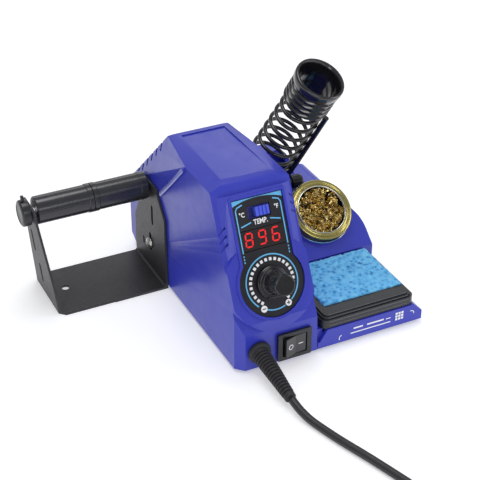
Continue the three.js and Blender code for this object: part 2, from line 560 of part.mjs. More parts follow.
// ---------------------------------------------------------------- base plate and feet
const FOOT_RADIUS = 6;
const FEET = {
  front_left: [LEFT + 13, FRONT + 13], front_right: [RIGHT - 13, FRONT + 13],
  rear_left: [LEFT + 18, BACK - 25], rear_right: [RIGHT - 13, BACK - 25],
};
function basePlate() {
  const x = RIGHT - WALL - GAP;
  const front = FRONT + WALL + GAP;
  const back = BACK - REAR_CHAMFER_DEPTH - 2.6 * WALL;
  const pad = box([-PAD_SIZE[0] / 2, -PAD_SIZE[1] / 2, SHELL_FOOT], [PAD_SIZE[0] / 2, PAD_SIZE[1] / 2, PLATE_TOP]);
  let body = join(box([-x, front, UNDERSIDE], [x, back, PLATE_TOP]), pad);
  body = trim(body, [LEFT + WALL + GAP, FRONT + CORNER_CHAMFER + WALL + GAP, 0],
    new THREE.Vector3(-1, -1, 0));
  // The louvre field under the transformer lets air in.
  for (let i = 0; i < 4; i += 1) {
    body = cut(body, box([HOUSING_MID - 12, -8 + i * 6, 0], [HOUSING_MID + 12, -5.6 + i * 6, 9]));
  }
  return cut(body, ...Object.keys(SCREWS).map(screwHole));
}
part('base_plate', basePlate(), 0x26262b, 0.6);
for (const [place, at] of Object.entries(FEET)) {
  const foot = round(standing(at), FOOT_RADIUS - 0.6, FOOT_RADIUS, 0, UNDERSIDE - 0.05, 16);
  part(`foot_${place}`, foot, 0x222226, 0.9);
}
for (const [place, at] of Object.entries(SCREWS)) {
  const frame = standing(at);
  const screw = join(round(frame, 3, 3, 0.4, UNDERSIDE - GAP, 12),
    round(frame, SCREW_RADIUS, SCREW_RADIUS, UNDERSIDE - GAP - 0.1, SCREW_TOP, 10));
  part(`base_screw_${place}`, screw, 0x9a9da1, 0.4, 0.9);
}

// ---------------------------------------------------------------- transformer
const CORE = { x0: HOUSING_MID - 19, x1: HOUSING_MID + 19, y0: BACK - 64, y1: BACK - 28, z0: PLATE_TOP + GAP, z1: 38 };
function transformerCore() {
  const c = CORE;
  const leg = 6.5;
  const mid = (c.x0 + c.x1) / 2;
  const body = box([c.x0, c.y0, c.z0], [c.x1, c.y1, c.z1]);
  return cut(body,
    box([c.x0 + leg, c.y0 - 1, c.z0 + leg], [mid - leg, c.y1 + 1, c.z1 - leg]),
    box([mid + leg, c.y0 - 1, c.z0 + leg], [c.x1 - leg, c.y1 + 1, c.z1 - leg]));
}
function transformerWinding() {
  const c = CORE;
  const leg = 6.5;
  const mid = (c.x0 + c.x1) / 2;
  const outer = box([c.x0 + leg + GAP, c.y0 - 6, c.z0 + leg + GAP], [c.x1 - leg - GAP, c.y1 + 6, c.z1 - leg - GAP]);
  const inner = box([mid - leg - GAP, c.y0 - GAP, c.z0], [mid + leg + GAP, c.y1 + GAP, c.z1 + 1]);
  return cut(outer, inner);
}
function transformerStrap() {
  const c = CORE;
  const t = 1.2;
  const y0 = (c.y0 + c.y1) / 2 - 6;
  const outline = polygon([[c.x0 - 3.4, c.z0], [c.x0 - GAP, c.z0], [c.x0 - GAP, c.z1 + GAP],
    [c.x1 + GAP, c.z1 + GAP], [c.x1 + GAP, c.z0], [c.x1 + 2.6, c.z0], [c.x1 + 2.6, c.z0 + t],
    [c.x1 + GAP + t, c.z0 + t], [c.x1 + GAP + t, c.z1 + GAP + t], [c.x0 - GAP - t, c.z1 + GAP + t],
    [c.x0 - GAP - t, c.z0 + t], [c.x0 - 3.4, c.z0 + t]]);
  return acrossY(outline, y0, y0 + 12);
}
part('transformer_core', transformerCore(), 0x6f7378, 0.55, 0.6);
part('transformer_winding', transformerWinding(), 0xb8862f, 0.6);
part('transformer_strap', transformerStrap(), 0xa8acb0, 0.4, 0.8);

// ---------------------------------------------------------------- mains inlet
function mainsInlet() {
  const rim = acrossY(roundedRectangle(HOUSING_MID, INLET_Z, INLET_WIDTH + 5, INLET_HEIGHT + 5, 2),
    BACK + GAP, BACK + GAP + 1.6, 4);
  const can = box([HOUSING_MID - INLET_WIDTH / 2, BACK - 16, INLET_Z - INLET_HEIGHT / 2],
    [HOUSING_MID + INLET_WIDTH / 2, BACK + GAP + 0.1, INLET_Z + INLET_HEIGHT / 2]);
  const well = acrossY(polygon([[HOUSING_MID - 12, INLET_Z - 8], [HOUSING_MID + 12, INLET_Z - 8],
    [HOUSING_MID + 12, INLET_Z + 4], [HOUSING_MID + 8, INLET_Z + 8], [HOUSING_MID - 8, INLET_Z + 8],
    [HOUSING_MID - 12, INLET_Z + 4]]), BACK - 13, BACK + 9);
  let body = cut(join(rim, can), well);
  for (const [dx, dz] of [[-7, -2], [0, 2], [7, -2]]) {
    body = join(body, box([HOUSING_MID + dx - 1, BACK - 14, INLET_Z + dz - 2],
      [HOUSING_MID + dx + 1, BACK - 2, INLET_Z + dz + 2]));
  }
  return body;
}
part('mains_inlet', mainsInlet(), 0x1b1b1e, 0.5);

// ---------------------------------------------------------------- side deck and sponge tray
function deckSection(inset) {
  const x1 = RIGHT - inset;
  const top = DECK_TOP - inset;
  return polygon([[DECK_LEFT + inset, -5], [x1, -5], [x1, DECK_TOP - DECK_CHAMFER - inset * 0.4],
    [RIGHT - DECK_CHAMFER - inset * 0.4, top], [DECK_LEFT + inset, top]]);
}
const POCKET_FLOOR = PLATE_TOP + GAP + 3.8;     // top of the deck floor that carries the tray
const TRAY_FOOT = POCKET_FLOOR + GAP;
const RIM_OVERHANG = 1.7;
function sideDeck() {
  const back = BLOCK_FRONT - GAP;
  let body = common(acrossY(deckSection(0), FRONT, back), box([DECK_LEFT - 1, FRONT, SHELL_FOOT],
    [RIGHT + 1, back, 40]));
  body = cut(body, common(acrossY(deckSection(WALL), FRONT + WALL, back - WALL),
    box([-99, -99, -9], [99, 99, PLATE_TOP + GAP])));
  // Tray pocket, and the passage for the base plate under the inner walls.
  body = cut(body,
    box([TRAY_LEFT + RIM_OVERHANG - GAP, FRONT + WALL, POCKET_FLOOR],
      [TRAY_RIGHT - RIM_OVERHANG + GAP, TRAY_BACK + GAP, 40]),
    box([DECK_LEFT - 1, FRONT + WALL, 0], [DECK_LEFT + 3, back + 1, PLATE_TOP + GAP]),
    box([DECK_LEFT - 1, back - WALL - 1, 0], [RIGHT - WALL, back + 1, PLATE_TOP + GAP]));
  // Sloping notch at the left end of the front wall, beside the housing.
  return cut(body, screwHole('front_right'), acrossY(polygon([[DECK_LEFT - 1, 6.4], [DECK_LEFT + 1.6, 6.4], [DECK_LEFT + 6.4, 14],
    [DECK_LEFT + 6.4, 20], [DECK_LEFT - 1, 20]]), FRONT - 1, FRONT + WALL + 0.5));
}
function trayOutline(offset, radius) {
  const w = TRAY_RIGHT - TRAY_LEFT + 2 * offset;
  const d = TRAY_BACK - TRAY_FRONT + 2 * offset;
  return roundedRectangle((TRAY_LEFT + TRAY_RIGHT) / 2, (TRAY_FRONT + TRAY_BACK) / 2, w, d, radius);
}
function spongeTray() {
  const body = join(
    upright(trayOutline(-RIM_OVERHANG - GAP, 3), TRAY_FOOT, TRAY_TOP - 1, 3),
    upright(trayOutline(0, 4), DECK_TOP + GAP, TRAY_TOP - 2.2, 3),
    upright(trayOutline(-1.3, 3), TRAY_TOP - 2.3, TRAY_TOP - 0.9, 3),
    upright(trayOutline(-2.6, 2.4), TRAY_TOP - 1, TRAY_TOP, 3));
  const s = SPONGE;
  const well = roundedRectangle((s.x0 + s.x1) / 2, (s.y0 + s.y1) / 2, s.x1 - s.x0 + 2 * GAP,
    s.y1 - s.y0 + 2 * GAP, 2);
  return cut(body, upright(well, TRAY_FOOT + TRAY_WALL, 40, 4));
}
function sponge() {
  const s = SPONGE;
  const outline = roundedRectangle((s.x0 + s.x1) / 2, (s.y0 + s.y1) / 2, s.x1 - s.x0, s.y1 - s.y0, 2.5);
  return upright(outline, TRAY_FOOT + TRAY_WALL + GAP, SPONGE_TOP, 4);
}
part('side_deck', sideDeck(), BLUE, 0.42);
part('sponge_tray', spongeTray(), BLACK, 0.4);
part('sponge', sponge(), 0x5fa9dd, 0.95);

// ---------------------------------------------------------------- tin block
function blockSection(inset) {
  const r = BLOCK_SHOULDER;
  const s = new THREE.Shape();
  s.moveTo(DECK_LEFT + inset, -5).lineTo(RIGHT - 0.3 - inset, -5);
  s.lineTo(RIGHT - 0.3 - inset, BLOCK_TOP - r);
  s.absarc(RIGHT - 0.3 - r, BLOCK_TOP - r, r - inset, 0, Math.PI / 2, false);
  s.lineTo(DECK_LEFT + inset, BLOCK_TOP - inset);
  return s;
}
function blockBody(inset, footZ) {
  let body = acrossY(blockSection(inset), BLOCK_FRONT + inset, BLOCK_BACK - inset, 8);
  const seat = vec(TIN_CENTRE).addScaledVector(TIN_AXIS, -TIN_PROUD - inset);
  body = trim(body, seat.toArray(), TIN_AXIS);
  const slope = new THREE.Vector3(0, 1, 1);
  body = trim(body, [0, BLOCK_BACK - 1.5 * inset, 30], slope);
  return trim(body, [0, 0, footZ], new THREE.Vector3(0, 0, -1));
}
const POCKET_RADIUS = TIN_RADIUS + 0.5;
function tinBlock() {
  const cavity = blockBody(WALL, -9);
  const bossWall = round(tinFrame, POCKET_RADIUS + WALL, POCKET_RADIUS + WALL, -TIN_DEPTH - GAP - WALL,
    4, 32);
  let body = cut(blockBody(0, SHELL_FOOT), cut(cavity, bossWall));
  body = cut(join(body, screwBoss('rear_right')), screwHole('rear_right'));
  body = cut(body, round(tinFrame, POCKET_RADIUS, POCKET_RADIUS, -TIN_DEPTH - GAP, 9, 32));
  return cut(body,
    box([DECK_LEFT - 1, BLOCK_FRONT - 1, 0], [DECK_LEFT + 3, BACK, PLATE_TOP + GAP]),
    box([DECK_LEFT - 1, BLOCK_FRONT - 1, 0], [RIGHT - WALL - GAP, BLOCK_FRONT + 4, PLATE_TOP + GAP]));
}
part('tin_block', tinBlock(), BLUE, 0.42);

// ---------------------------------------------------------------- brass-wool tin
function tinCup() {
  const r = TIN_RADIUS;
  const profile = [[0, -TIN_DEPTH], [r - 1, -TIN_DEPTH], [r, -TIN_DEPTH + 1], [r, -TIN_PROUD + GAP],
    [r + 1.9, -TIN_PROUD + GAP], [r + 2.1, -TIN_PROUD + 0.9], [r + 1.9, -TIN_PROUD + 1.5],
    [r, -TIN_PROUD + 1.5], [r, -GAP], [r - 0.9, -GAP], [r - 0.9, -TIN_DEPTH + 1], [0, -TIN_DEPTH + 1]];
  return turned(tinFrame, profile, 24);
}
function tinLid() {
  const r = TIN_LID_RADIUS;
  const o = TIN_OPENING_RADIUS;
  const profile = [[o, 0.1], [r - 1.2, 0.1], [r - 1.2, -2.2], [r, -2.2], [r, 0.5], [r - 0.7, 1.3],
    [r - 1.6, 1.4], [r - 2.2, 0.9], [o + 1.4, 0.9], [o + 0.5, 1.5], [o, 1.1], [o, 0.1]];
  return turned(tinFrame, profile, 24);
}
function brassWool() {
  const r = TIN_RADIUS - 1.6;
  const profile = [[0, -TIN_DEPTH + 1.4], [r, -TIN_DEPTH + 1.4], [r, -2.4], [r - 2, -1.2], [9, -0.6], [0, -0.3]];
  return turned(tinFrame, profile, 20);
}
part('tin_cup', tinCup(), 0x2b2b2b, 0.4, 0.6);
part('tin_lid', tinLid(), 0xa8964a, 0.3, 0.9);
part('brass_wool', brassWool(), 0xb99145, 0.4, 0.9);

// ---------------------------------------------------------------- hood and iron holder
function hoodOutline(inset) {
  const foot = BLOCK_TOP + GAP;
  const w = HOOD_HALF_WIDTH - inset;
  const corner = HOOD_HALF_WIDTH * (9 / 13);
  const s = new THREE.Shape();
  s.moveTo(HOOD_X - w, inset ? foot + 4 : foot).lineTo(HOOD_X + w, inset ? foot + 4 : foot);
  s.lineTo(HOOD_X + w - 3.2, HOOD_SHOULDER);
  s.quadraticCurveTo(HOOD_X + w - 7, HOOD_TOP - inset, HOOD_X + w - corner, HOOD_TOP - inset);
  s.lineTo(HOOD_X - w + corner, HOOD_TOP - inset);
  s.quadraticCurveTo(HOOD_X - w + 7, HOOD_TOP - inset, HOOD_X - w + 3.2, HOOD_SHOULDER);
  return s;
}
const EAR_GAP = 6.4;              // between the ears, for the holder's eye
const EAR_THICKNESS = 3;
const EYE_HALF = EAR_GAP / 2 - GAP;
function hood() {
  const body = cut(acrossY(hoodOutline(0), HOOD_FRONT, HOOD_BACK, 8),
    acrossY(hoodOutline(HOOD_WALL), HOOD_FRONT - 1, HOOD_BACK - HOOD_WALL, 8));
  // The hinge ledge stands in front of the hood's foot and carries two ears.
  const foot = BLOCK_TOP + GAP;
  const ledge = box([PIVOT[0] - EAR_GAP / 2 - EAR_THICKNESS, PIVOT[1] + 7, foot],
    [HOOD_X + HOOD_HALF_WIDTH - 3.5, HOOD_FRONT + 1, LEDGE_TOP]);
  const ears = [-1, 1].map((side) => {
    const inner = PIVOT[0] + side * (EAR_GAP / 2);
    const outer = inner + side * EAR_THICKNESS;
    const outline = [[PIVOT[1] - 3.6, foot], [PIVOT[1] + 8, foot], [PIVOT[1] + 8, LEDGE_TOP],
      [PIVOT[1] + 3, PIVOT[2] + 3.4], [PIVOT[1] - 2.4, PIVOT[2] + 3.4], [PIVOT[1] - 3.6, PIVOT[2] + 2]];
    return acrossX(outline, Math.min(inner, outer), Math.max(inner, outer));
  });
  const bore = round(frameAt(PIVOT, Y_AXIS, X_AXIS), PIN_RADIUS + GAP, PIN_RADIUS + GAP, -20, 8, 16);
  return cut(join(body, ledge, ...ears), bore);
}
const pivotFrame = frameAt(PIVOT, Y_AXIS, X_AXIS);
const EAR_OUTER = EAR_GAP / 2 + EAR_THICKNESS;
const CLAMP_START = EAR_OUTER + 3.6;
const CLAMP_END = CLAMP_START + 8;
function pivotPin() {
  return join(round(pivotFrame, PIN_RADIUS, PIN_RADIUS, -EAR_OUTER - GAP - 0.4, CLAMP_START + 4, 16),
    round(pivotFrame, 3, 3, -EAR_OUTER - GAP - 1.6, -EAR_OUTER - GAP, 16));
}
function clampKnob() {
  const body = cut(join(round(pivotFrame, 2.6, 2.6, EAR_OUTER + GAP, CLAMP_START + 0.1, 16),
    turned(pivotFrame, [[0, CLAMP_START], [3.9, CLAMP_START], [4.3, CLAMP_START + 0.8],
      [4.3, CLAMP_END - 1.4], [3.4, CLAMP_END - 0.3], [0, CLAMP_END]], 20)),
  round(pivotFrame, PIN_RADIUS + GAP, PIN_RADIUS + GAP, 0, CLAMP_START + 4 + GAP, 16));
  return body;
}
// Backbone: from the eye on the pin straight up the outside of the spring to the collar.
const backboneSide = vec([0.615, -0.632, -0.474]).normalize();
const BACKBONE_RADIUS = 1.7;
const backboneOffset = SPRING_RADIUS + SPRING_WIRE + BACKBONE_RADIUS + GAP;
function onAxis(length, out = 0) {
  return vec(HOLDER_FOOT).addScaledVector(holderAxis, length).addScaledVector(backboneSide, out);
}
const COLLAR_START = HOLDER_LENGTH - HOLDER_COLLAR;
function holderArm() {
  const eye = cut(round(pivotFrame, 4, 4, -EYE_HALF, EYE_HALF, 20),
    round(pivotFrame, PIN_RADIUS + GAP, PIN_RADIUS + GAP, -9, 9, 16));
  const path = [vec(PIVOT).add(new THREE.Vector3(0, -2.4, 2.6)), onAxis(-6, backboneOffset - 0.6),
    onAxis(4, backboneOffset), onAxis(COLLAR_START - 0.6, backboneOffset)].map((p) => p.toArray());
  return cut(join(eye, tube(path, BACKBONE_RADIUS, 8, 10)),
    round(pivotFrame, PIN_RADIUS + GAP, PIN_RADIUS + GAP, -9, 9, 16));
}
function holderSpring() {
  const points = [];
  const STEPS = 12;
  const length = COLLAR_START - SPRING_WIRE - GAP;
  for (let i = 0; i <= SPRING_TURNS * STEPS; i += 1) {
    const t = i / (SPRING_TURNS * STEPS);
    const a = 2 * Math.PI * SPRING_TURNS * t;
    points.push(new THREE.Vector3(SPRING_RADIUS * Math.cos(a), SPRING_RADIUS * Math.sin(a), length * t)
      .applyMatrix4(holderFrame).toArray());
  }
  return tube(points, SPRING_WIRE, 5, SPRING_TURNS * STEPS);
}
function holderCollar() {
  const r = HOLDER_RADIUS;
  const a = COLLAR_START;
  const b = HOLDER_LENGTH;
  const profile = [[r - 3, a], [r - 2.2, a]];
  const THREADS = 3;
  const pitch = 4.8;
  for (let i = 0; i < THREADS; i += 1) {
    const z = a + 0.6 + i * pitch;
    profile.push([r - 2.2, z], [r - 0.6, z + 1.6], [r - 2.2, z + 3.4]);
  }
  profile.push([r - 2.2, b - 6], [r - 0.2, b - 5.4], [r, b - 1], [r - 0.6, b], [r - 1.8, b],
    [r - 2.6, b - 1.2], [r - 3.4, b - 6], [r - 4.6, a + 5], [r - 4.6, a], [r - 3, a]);
  return turned(holderFrame, profile, 22);
}
part('holder_hood', hood(), BLUE, 0.42);
part('holder_pivot_pin', pivotPin(), STEEL, 0.35, 0.9);
part('holder_clamp_knob', clampKnob(), 0x151517, 0.4);
part('holder_arm', holderArm(), 0x161618, 0.35, 0.5);
part('holder_spring', holderSpring(), 0x161618, 0.35, 0.5);
part('holder_collar', holderCollar(), 0x18181b, 0.35);

// ---------------------------------------------------------------- solder-reel bracket
const CHEEK_X = LEFT - GAP;                        // outer face of the inner cheek
const REEL_OUT = CHEEK_X - REEL_REACH;
const CHEEK_TOP = ROLLER_Z + 4.2;
const AXLE_RADIUS = 2.5;
const leanAt = (z) => REEL_OUT - REEL_LEAN * (z / ROLLER_Z);
function reelBracket() {
  const outline = polygon([[REEL_OUT, 0], [CHEEK_X, 0], [CHEEK_X, CHEEK_TOP], [CHEEK_X - SHEET, CHEEK_TOP],
    [CHEEK_X - SHEET, SHEET + 1], [CHEEK_X - SHEET - 1, SHEET], [REEL_OUT + SHEET + 1, SHEET],
    [leanAt(SHEET + 1) + SHEET, SHEET + 1], [leanAt(CHEEK_TOP) + SHEET, CHEEK_TOP],
    [leanAt(CHEEK_TOP), CHEEK_TOP]]);
  let body = acrossY(outline, REEL_FRONT, REEL_BACK);
  // Each cheek is cut to its own outline, seen from the side.
  const inner = [[REEL_FRONT - 1, -1], [REEL_FRONT, 49], [REEL_FRONT + 9, 60], [ROLLER_Y - 8, 80],
    [ROLLER_Y + 8, 80], [REEL_BACK - 9, 44], [REEL_BACK - 1, 30], [REEL_BACK + 1, -1]];
  const outer = [[REEL_FRONT, -1], [ROLLER_Y - 9, 58], [ROLLER_Y - 9, 80], [ROLLER_Y + 9, 80],
    [ROLLER_Y + 12, 55], [REEL_BACK, 10], [REEL_BACK, -1]];
  const mid = CHEEK_X - REEL_REACH / 2;
  body = common(body, join(acrossX(inner, mid, CHEEK_X + 1), acrossX(outer, REEL_OUT - 20, mid + 1)));
  const slot = (y, z, width, height) => roundedRectangle(y, z, width, height, width / 2 - 0.05);
  const tools = [
    plate(yzFrame, slot(ROLLER_Y - 7.8, 43.5, 2.8, 14), CHEEK_X - 5, CHEEK_X + 5, 3),
    plate(yzFrame, slot(REEL_SCREW[0], REEL_SCREW[1] + 0.8, 3.6, 13), CHEEK_X - 5, CHEEK_X + 5, 3),
    plate(yzFrame, slot(ROLLER_Y + 8, 17, 2.2, 6), CHEEK_X - 5, CHEEK_X + 5, 3),
    plate(yzFrame, slot(ROLLER_Y + 5.5, 38, 3, 16), REEL_OUT - 20, REEL_OUT + 12, 3),
    plate(yzFrame, slot(ROLLER_Y + 1.5, 16, 3, 14), REEL_OUT - 20, REEL_OUT + 12, 3),
    round(frameAt([REEL_OUT + 12.6, ROLLER_Y + 0.1, 0], X_AXIS, Z_AXIS), 2.6, 2.6, -1, 9, 16),
    round(rollerFrame, AXLE_RADIUS + GAP, AXLE_RADIUS + GAP, REEL_OUT - 20, 0, 16),
  ];
  for (const side of [-1, 1]) {
    const y = side < 0 ? REEL_FRONT : REEL_BACK;
    body = trim(body, [REEL_OUT, y - side * 4, 0], new THREE.Vector3(-1, side, 0));
  }
  return cut(body, ...tools);
}
const rollerFrame = frameAt([0, ROLLER_Y, ROLLER_Z], Y_AXIS, X_AXIS);
const ROLLER_IN = CHEEK_X - SHEET - 0.8;
const ROLLER_OUT = leanAt(ROLLER_Z - ROLLER_RADIUS) + SHEET + 0.8;
const CAP_X = leanAt(CHEEK_TOP) - GAP;
const CAP_BORE = 4;
const ROLLER_MID = (ROLLER_IN + ROLLER_OUT) / 2;
function rollerHalf(x0, x1, flangeAt) {
  const f = 1.4;
  let body = join(round(rollerFrame, ROLLER_RADIUS - 0.4, ROLLER_RADIUS - 0.4, x0, x1, 28),
    round(rollerFrame, ROLLER_RADIUS, ROLLER_RADIUS, flangeAt, flangeAt + f * 2, 28));
  body = cut(body, round(rollerFrame, AXLE_RADIUS + GAP, AXLE_RADIUS + GAP, -200, 0, 16));
  return body;
}
function rollerAxle() {
  return round(rollerFrame, AXLE_RADIUS, AXLE_RADIUS, CAP_X - CAP_BORE + GAP, CHEEK_X + 0.1, 16);
}
function axleCap() {
  const x = CAP_X;
  const cap = turned(rollerFrame, [[0, x], [7.8, x], [8.2, x - 0.8], [8.2, x - 4.6], [7.2, x - 5.4], [0, x - 5.8]], 20);
  return cut(cap, round(rollerFrame, AXLE_RADIUS + GAP, AXLE_RADIUS + GAP, x - CAP_BORE, 0, 16));
}
function axleClip() {
  const x = CAP_X - 3;
  return acrossX([[ROLLER_Y - 1.4, ROLLER_Z + 8.6], [ROLLER_Y + 1.4, ROLLER_Z + 8.6],
    [ROLLER_Y + 1.2, ROLLER_Z + 11.6], [ROLLER_Y - 0.6, ROLLER_Z + 11.6]], x - 1, x + 0.8);
}
function reelScrew() {
  const frame = frameAt([CHEEK_X - SHEET - GAP, ...REEL_SCREW], Y_AXIS, new THREE.Vector3(-1, 0, 0));
  const head = turned(frame, [[0, 0], [3.6, 0], [3.6, 0.7], [2.8, 1.8], [1.2, 2.3], [0, 2.3]], 20);
  const drive = join(solid(new THREE.BoxGeometry(4.4, 0.8, 1.6), frame.clone()
    .multiply(new THREE.Matrix4().makeTranslation(0, 0, 2.4))),
  solid(new THREE.BoxGeometry(0.8, 4.4, 1.6), frame.clone()
    .multiply(new THREE.Matrix4().makeTranslation(0, 0, 2.4))));
  return cut(join(head, round(frame, 1.3, 1.3, -6, 0.1, 12)), drive);
}
part('reel_bracket', reelBracket(), 0x2a2a2c, 0.5, 0.4);
part('reel_roller_inner', rollerHalf(ROLLER_MID + 0.15, ROLLER_IN, ROLLER_MID + 0.15), 0x2c2d31, 0.45);
part('reel_roller_outer', rollerHalf(ROLLER_OUT, ROLLER_MID - 0.15, ROLLER_MID - 2.95), 0x2c2d31, 0.45);
part('reel_axle', rollerAxle(), STEEL, 0.35, 0.9);
part('reel_axle_cap', axleCap(), 0x1e1e21, 0.45);
part('reel_axle_clip', axleClip(), 0x1e1e21, 0.45);
part('reel_bracket_screw', reelScrew(), 0xd0d2d4, 0.25, 1);

// ---------------------------------------------------------------- strain relief, cord, iron
function strainRelief() {
  const end = vec(RELIEF_END);
  const root = vec(RELIEF_ROOT).add(new THREE.Vector3(0, -GAP, 0));
  const along = end.clone().sub(root);
  const length = along.length();
  const frame = frameAt(root.toArray(), X_AXIS, along);
  const cone = turned(frame, [[0, -0.4], [5.7, -0.4], [5.4, 6], [3.5, length], [0, length]], 16);
  const collar = turned(reliefRoot, [[0, GAP], [6.9, GAP], [7, 2.4], [6, 3.8], [0, 3.8]], 20);
  const neck = round(reliefRoot, RELIEF_NECK, RELIEF_NECK, -6, GAP + 0.2, 16);
  const trimmed = trim(cone, [0, FRONT - GAP, 0], Y_AXIS);
  return join(trimmed, collar, neck);
}
part('cord_strain_relief', strainRelief(), 0x1c1c1f, 0.6);
part('iron_cord_run', tube(CORD_RUN.map(onTable), CORD_DIAMETER / 2, 8, 18), 0x1c1c1f, 0.55);
function coil() {
  const w = CORD_DIAMETER + 0.2;
  const r = COIL_RADIUS;
  const h = COIL_HEIGHT;
  const frame = frameAt(COIL_CENTRE, X_AXIS, Z_AXIS);
  return turned(frame, [[r - w, 1], [r - w + 1, 0], [r + w - 1, 0], [r + w, 1], [r + w, h - 2],
    [r + w - 2, h], [r - w + 2, h], [r - w, h - 2], [r - w, 1]], 24);
}
part('iron_cord_coil', coil(), 0x1c1c1f, 0.55);
part('iron_cord_tail', tube(CORD_TAIL.map(onTable), CORD_DIAMETER / 2, 8, 24), 0x1c1c1f, 0.55);

// The iron lies on the table with its tip towards -X.
const ironFrame = frameAt(IRON_ORIGIN, Y_AXIS, new THREE.Vector3(-1, 0, Math.tan(rad(IRON_LEAN))));
const IRON_START = -47;           // rear of the boot, along the iron's axis
const BOOT_LENGTH = 30;
const HANDLE_LENGTH = 62;
const GRIP_LENGTH = 34;
const NUT_LENGTH = 14;
const BARREL_LENGTH = 34;
const TIP_LENGTH = 18;
const along = (...lengths) => IRON_START + lengths.reduce((a, b) => a + b, 0);
function ironBoot() {
  const a = along();
  const b = along(BOOT_LENGTH);
  return turned(ironFrame, [[0, a], [3.4, a], [5.2, b - 4], [6.4, b - 4], [6.4, b], [0, b]], 18);
}
function ironHandle() {
  const a = along(BOOT_LENGTH) + GAP;
  const b = along(BOOT_LENGTH, HANDLE_LENGTH);
  return turned(ironFrame, [[0, a], [6.6, a], [9.2, a + 5], [10.2, a + 30], [9.4, b - 4], [9, b], [0, b]], 22);
}
function ironGrip() {
  const a = along(BOOT_LENGTH, HANDLE_LENGTH) + GAP;
  const b = a + GRIP_LENGTH;
  return turned(ironFrame, [[0, a], [9.6, a], [10.4, a + 3], [9.8, a + 12], [10.2, a + 24],
    [12.9, b - 3], [12.9, b - 0.6], [12, b], [0, b]], 22);
}
function ironNut() {
  const a = along(BOOT_LENGTH, HANDLE_LENGTH, GRIP_LENGTH) + 2 * GAP;
  const b = a + NUT_LENGTH;
  return cut(turned(ironFrame, [[0, a], [7.6, a], [7.6, a + 9], [5.6, b], [0, b]], 18),
    round(ironFrame, 3.7, 3.7, a + 4, b + 1, 14));
}
function ironBarrel() {
  const a = along(BOOT_LENGTH, HANDLE_LENGTH, GRIP_LENGTH) + 2 * GAP + 4 + GAP;
  const b = a + BARREL_LENGTH;
  return turned(ironFrame, [[2.9, a], [3.4, a], [3.4, b], [2.9, b], [2.9, a]], 14);
}
function ironHeater() {
  const a = along(BOOT_LENGTH, HANDLE_LENGTH, GRIP_LENGTH) + 2 * GAP + 4 + GAP;
  return round(ironFrame, 1.9, 1.9, a, a + BARREL_LENGTH - 6, 12);
}
function ironTip() {
  const a = along(BOOT_LENGTH, HANDLE_LENGTH, GRIP_LENGTH) + 2 * GAP + 4 + GAP + BARREL_LENGTH;
  return turned(ironFrame, [[0, a - 5], [2.5, a - 5], [2.5, a + GAP], [3.2, a + GAP], [3.2, a + 3],
    [2.2, a + 8], [0.5, a + TIP_LENGTH], [0, a + TIP_LENGTH]], 14);
}
part('iron_boot', ironBoot(), 0x1c1c1f, 0.6);
part('iron_handle', ironHandle(), 0x1f1f23, 0.5);
part('iron_grip', ironGrip(), 0x2e3a9e, 0.7);
part('iron_nut', ironNut(), 0xa0a4a8, 0.4, 0.9);
part('iron_barrel', ironBarrel(), 0xb0b4b8, 0.3, 0.9);
part('iron_heater', ironHeater(), 0xe8e4da, 0.5);
part('iron_tip', ironTip(), 0x8a8d90, 0.35, 0.9);

station.position.z = -FOOT_HEIGHT;
export default station;
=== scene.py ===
"""Looks of the soldering iron station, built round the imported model."""
import json
import math
import random

import bmesh
import bpy
from mathutils import Matrix, Vector, noise


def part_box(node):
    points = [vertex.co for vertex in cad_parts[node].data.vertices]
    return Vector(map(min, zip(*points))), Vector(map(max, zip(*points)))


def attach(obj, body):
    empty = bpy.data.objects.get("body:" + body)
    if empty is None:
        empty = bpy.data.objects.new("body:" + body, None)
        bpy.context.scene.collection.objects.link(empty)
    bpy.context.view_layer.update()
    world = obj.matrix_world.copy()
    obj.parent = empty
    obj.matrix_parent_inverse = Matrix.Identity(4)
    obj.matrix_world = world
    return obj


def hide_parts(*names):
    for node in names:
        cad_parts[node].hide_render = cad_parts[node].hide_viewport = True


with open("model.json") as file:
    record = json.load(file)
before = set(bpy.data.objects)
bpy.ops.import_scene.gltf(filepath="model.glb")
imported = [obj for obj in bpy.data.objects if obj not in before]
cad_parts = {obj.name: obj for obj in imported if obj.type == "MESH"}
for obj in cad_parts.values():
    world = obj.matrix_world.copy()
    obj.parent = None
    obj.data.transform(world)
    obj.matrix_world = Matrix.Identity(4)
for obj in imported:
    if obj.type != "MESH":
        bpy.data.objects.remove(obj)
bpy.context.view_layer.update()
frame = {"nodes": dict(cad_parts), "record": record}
NODES = frame["nodes"]
BODY = {n: b for b, nodes in frame["record"]["behaviour"]["bodies"].items() for n in nodes}
SLOT = {s["node"]: s["material_slot"] for s in frame["record"]["subparts"]}
MM = 0.001
rng = random.Random(7)
X, Y, Z = Vector((1, 0, 0)), Vector((0, 1, 0)), Vector((0, 0, 1))


def at(origin, x_axis, normal):
    """A working plane: its third axis is normal. Numbers on it are millimetres."""
    n = Vector(normal).normalized()
    y = n.cross(Vector(x_axis)).normalized()
    m = Matrix((y.cross(n), y, n)).transposed().to_4x4()
    m.translation = Vector(origin)
    return m


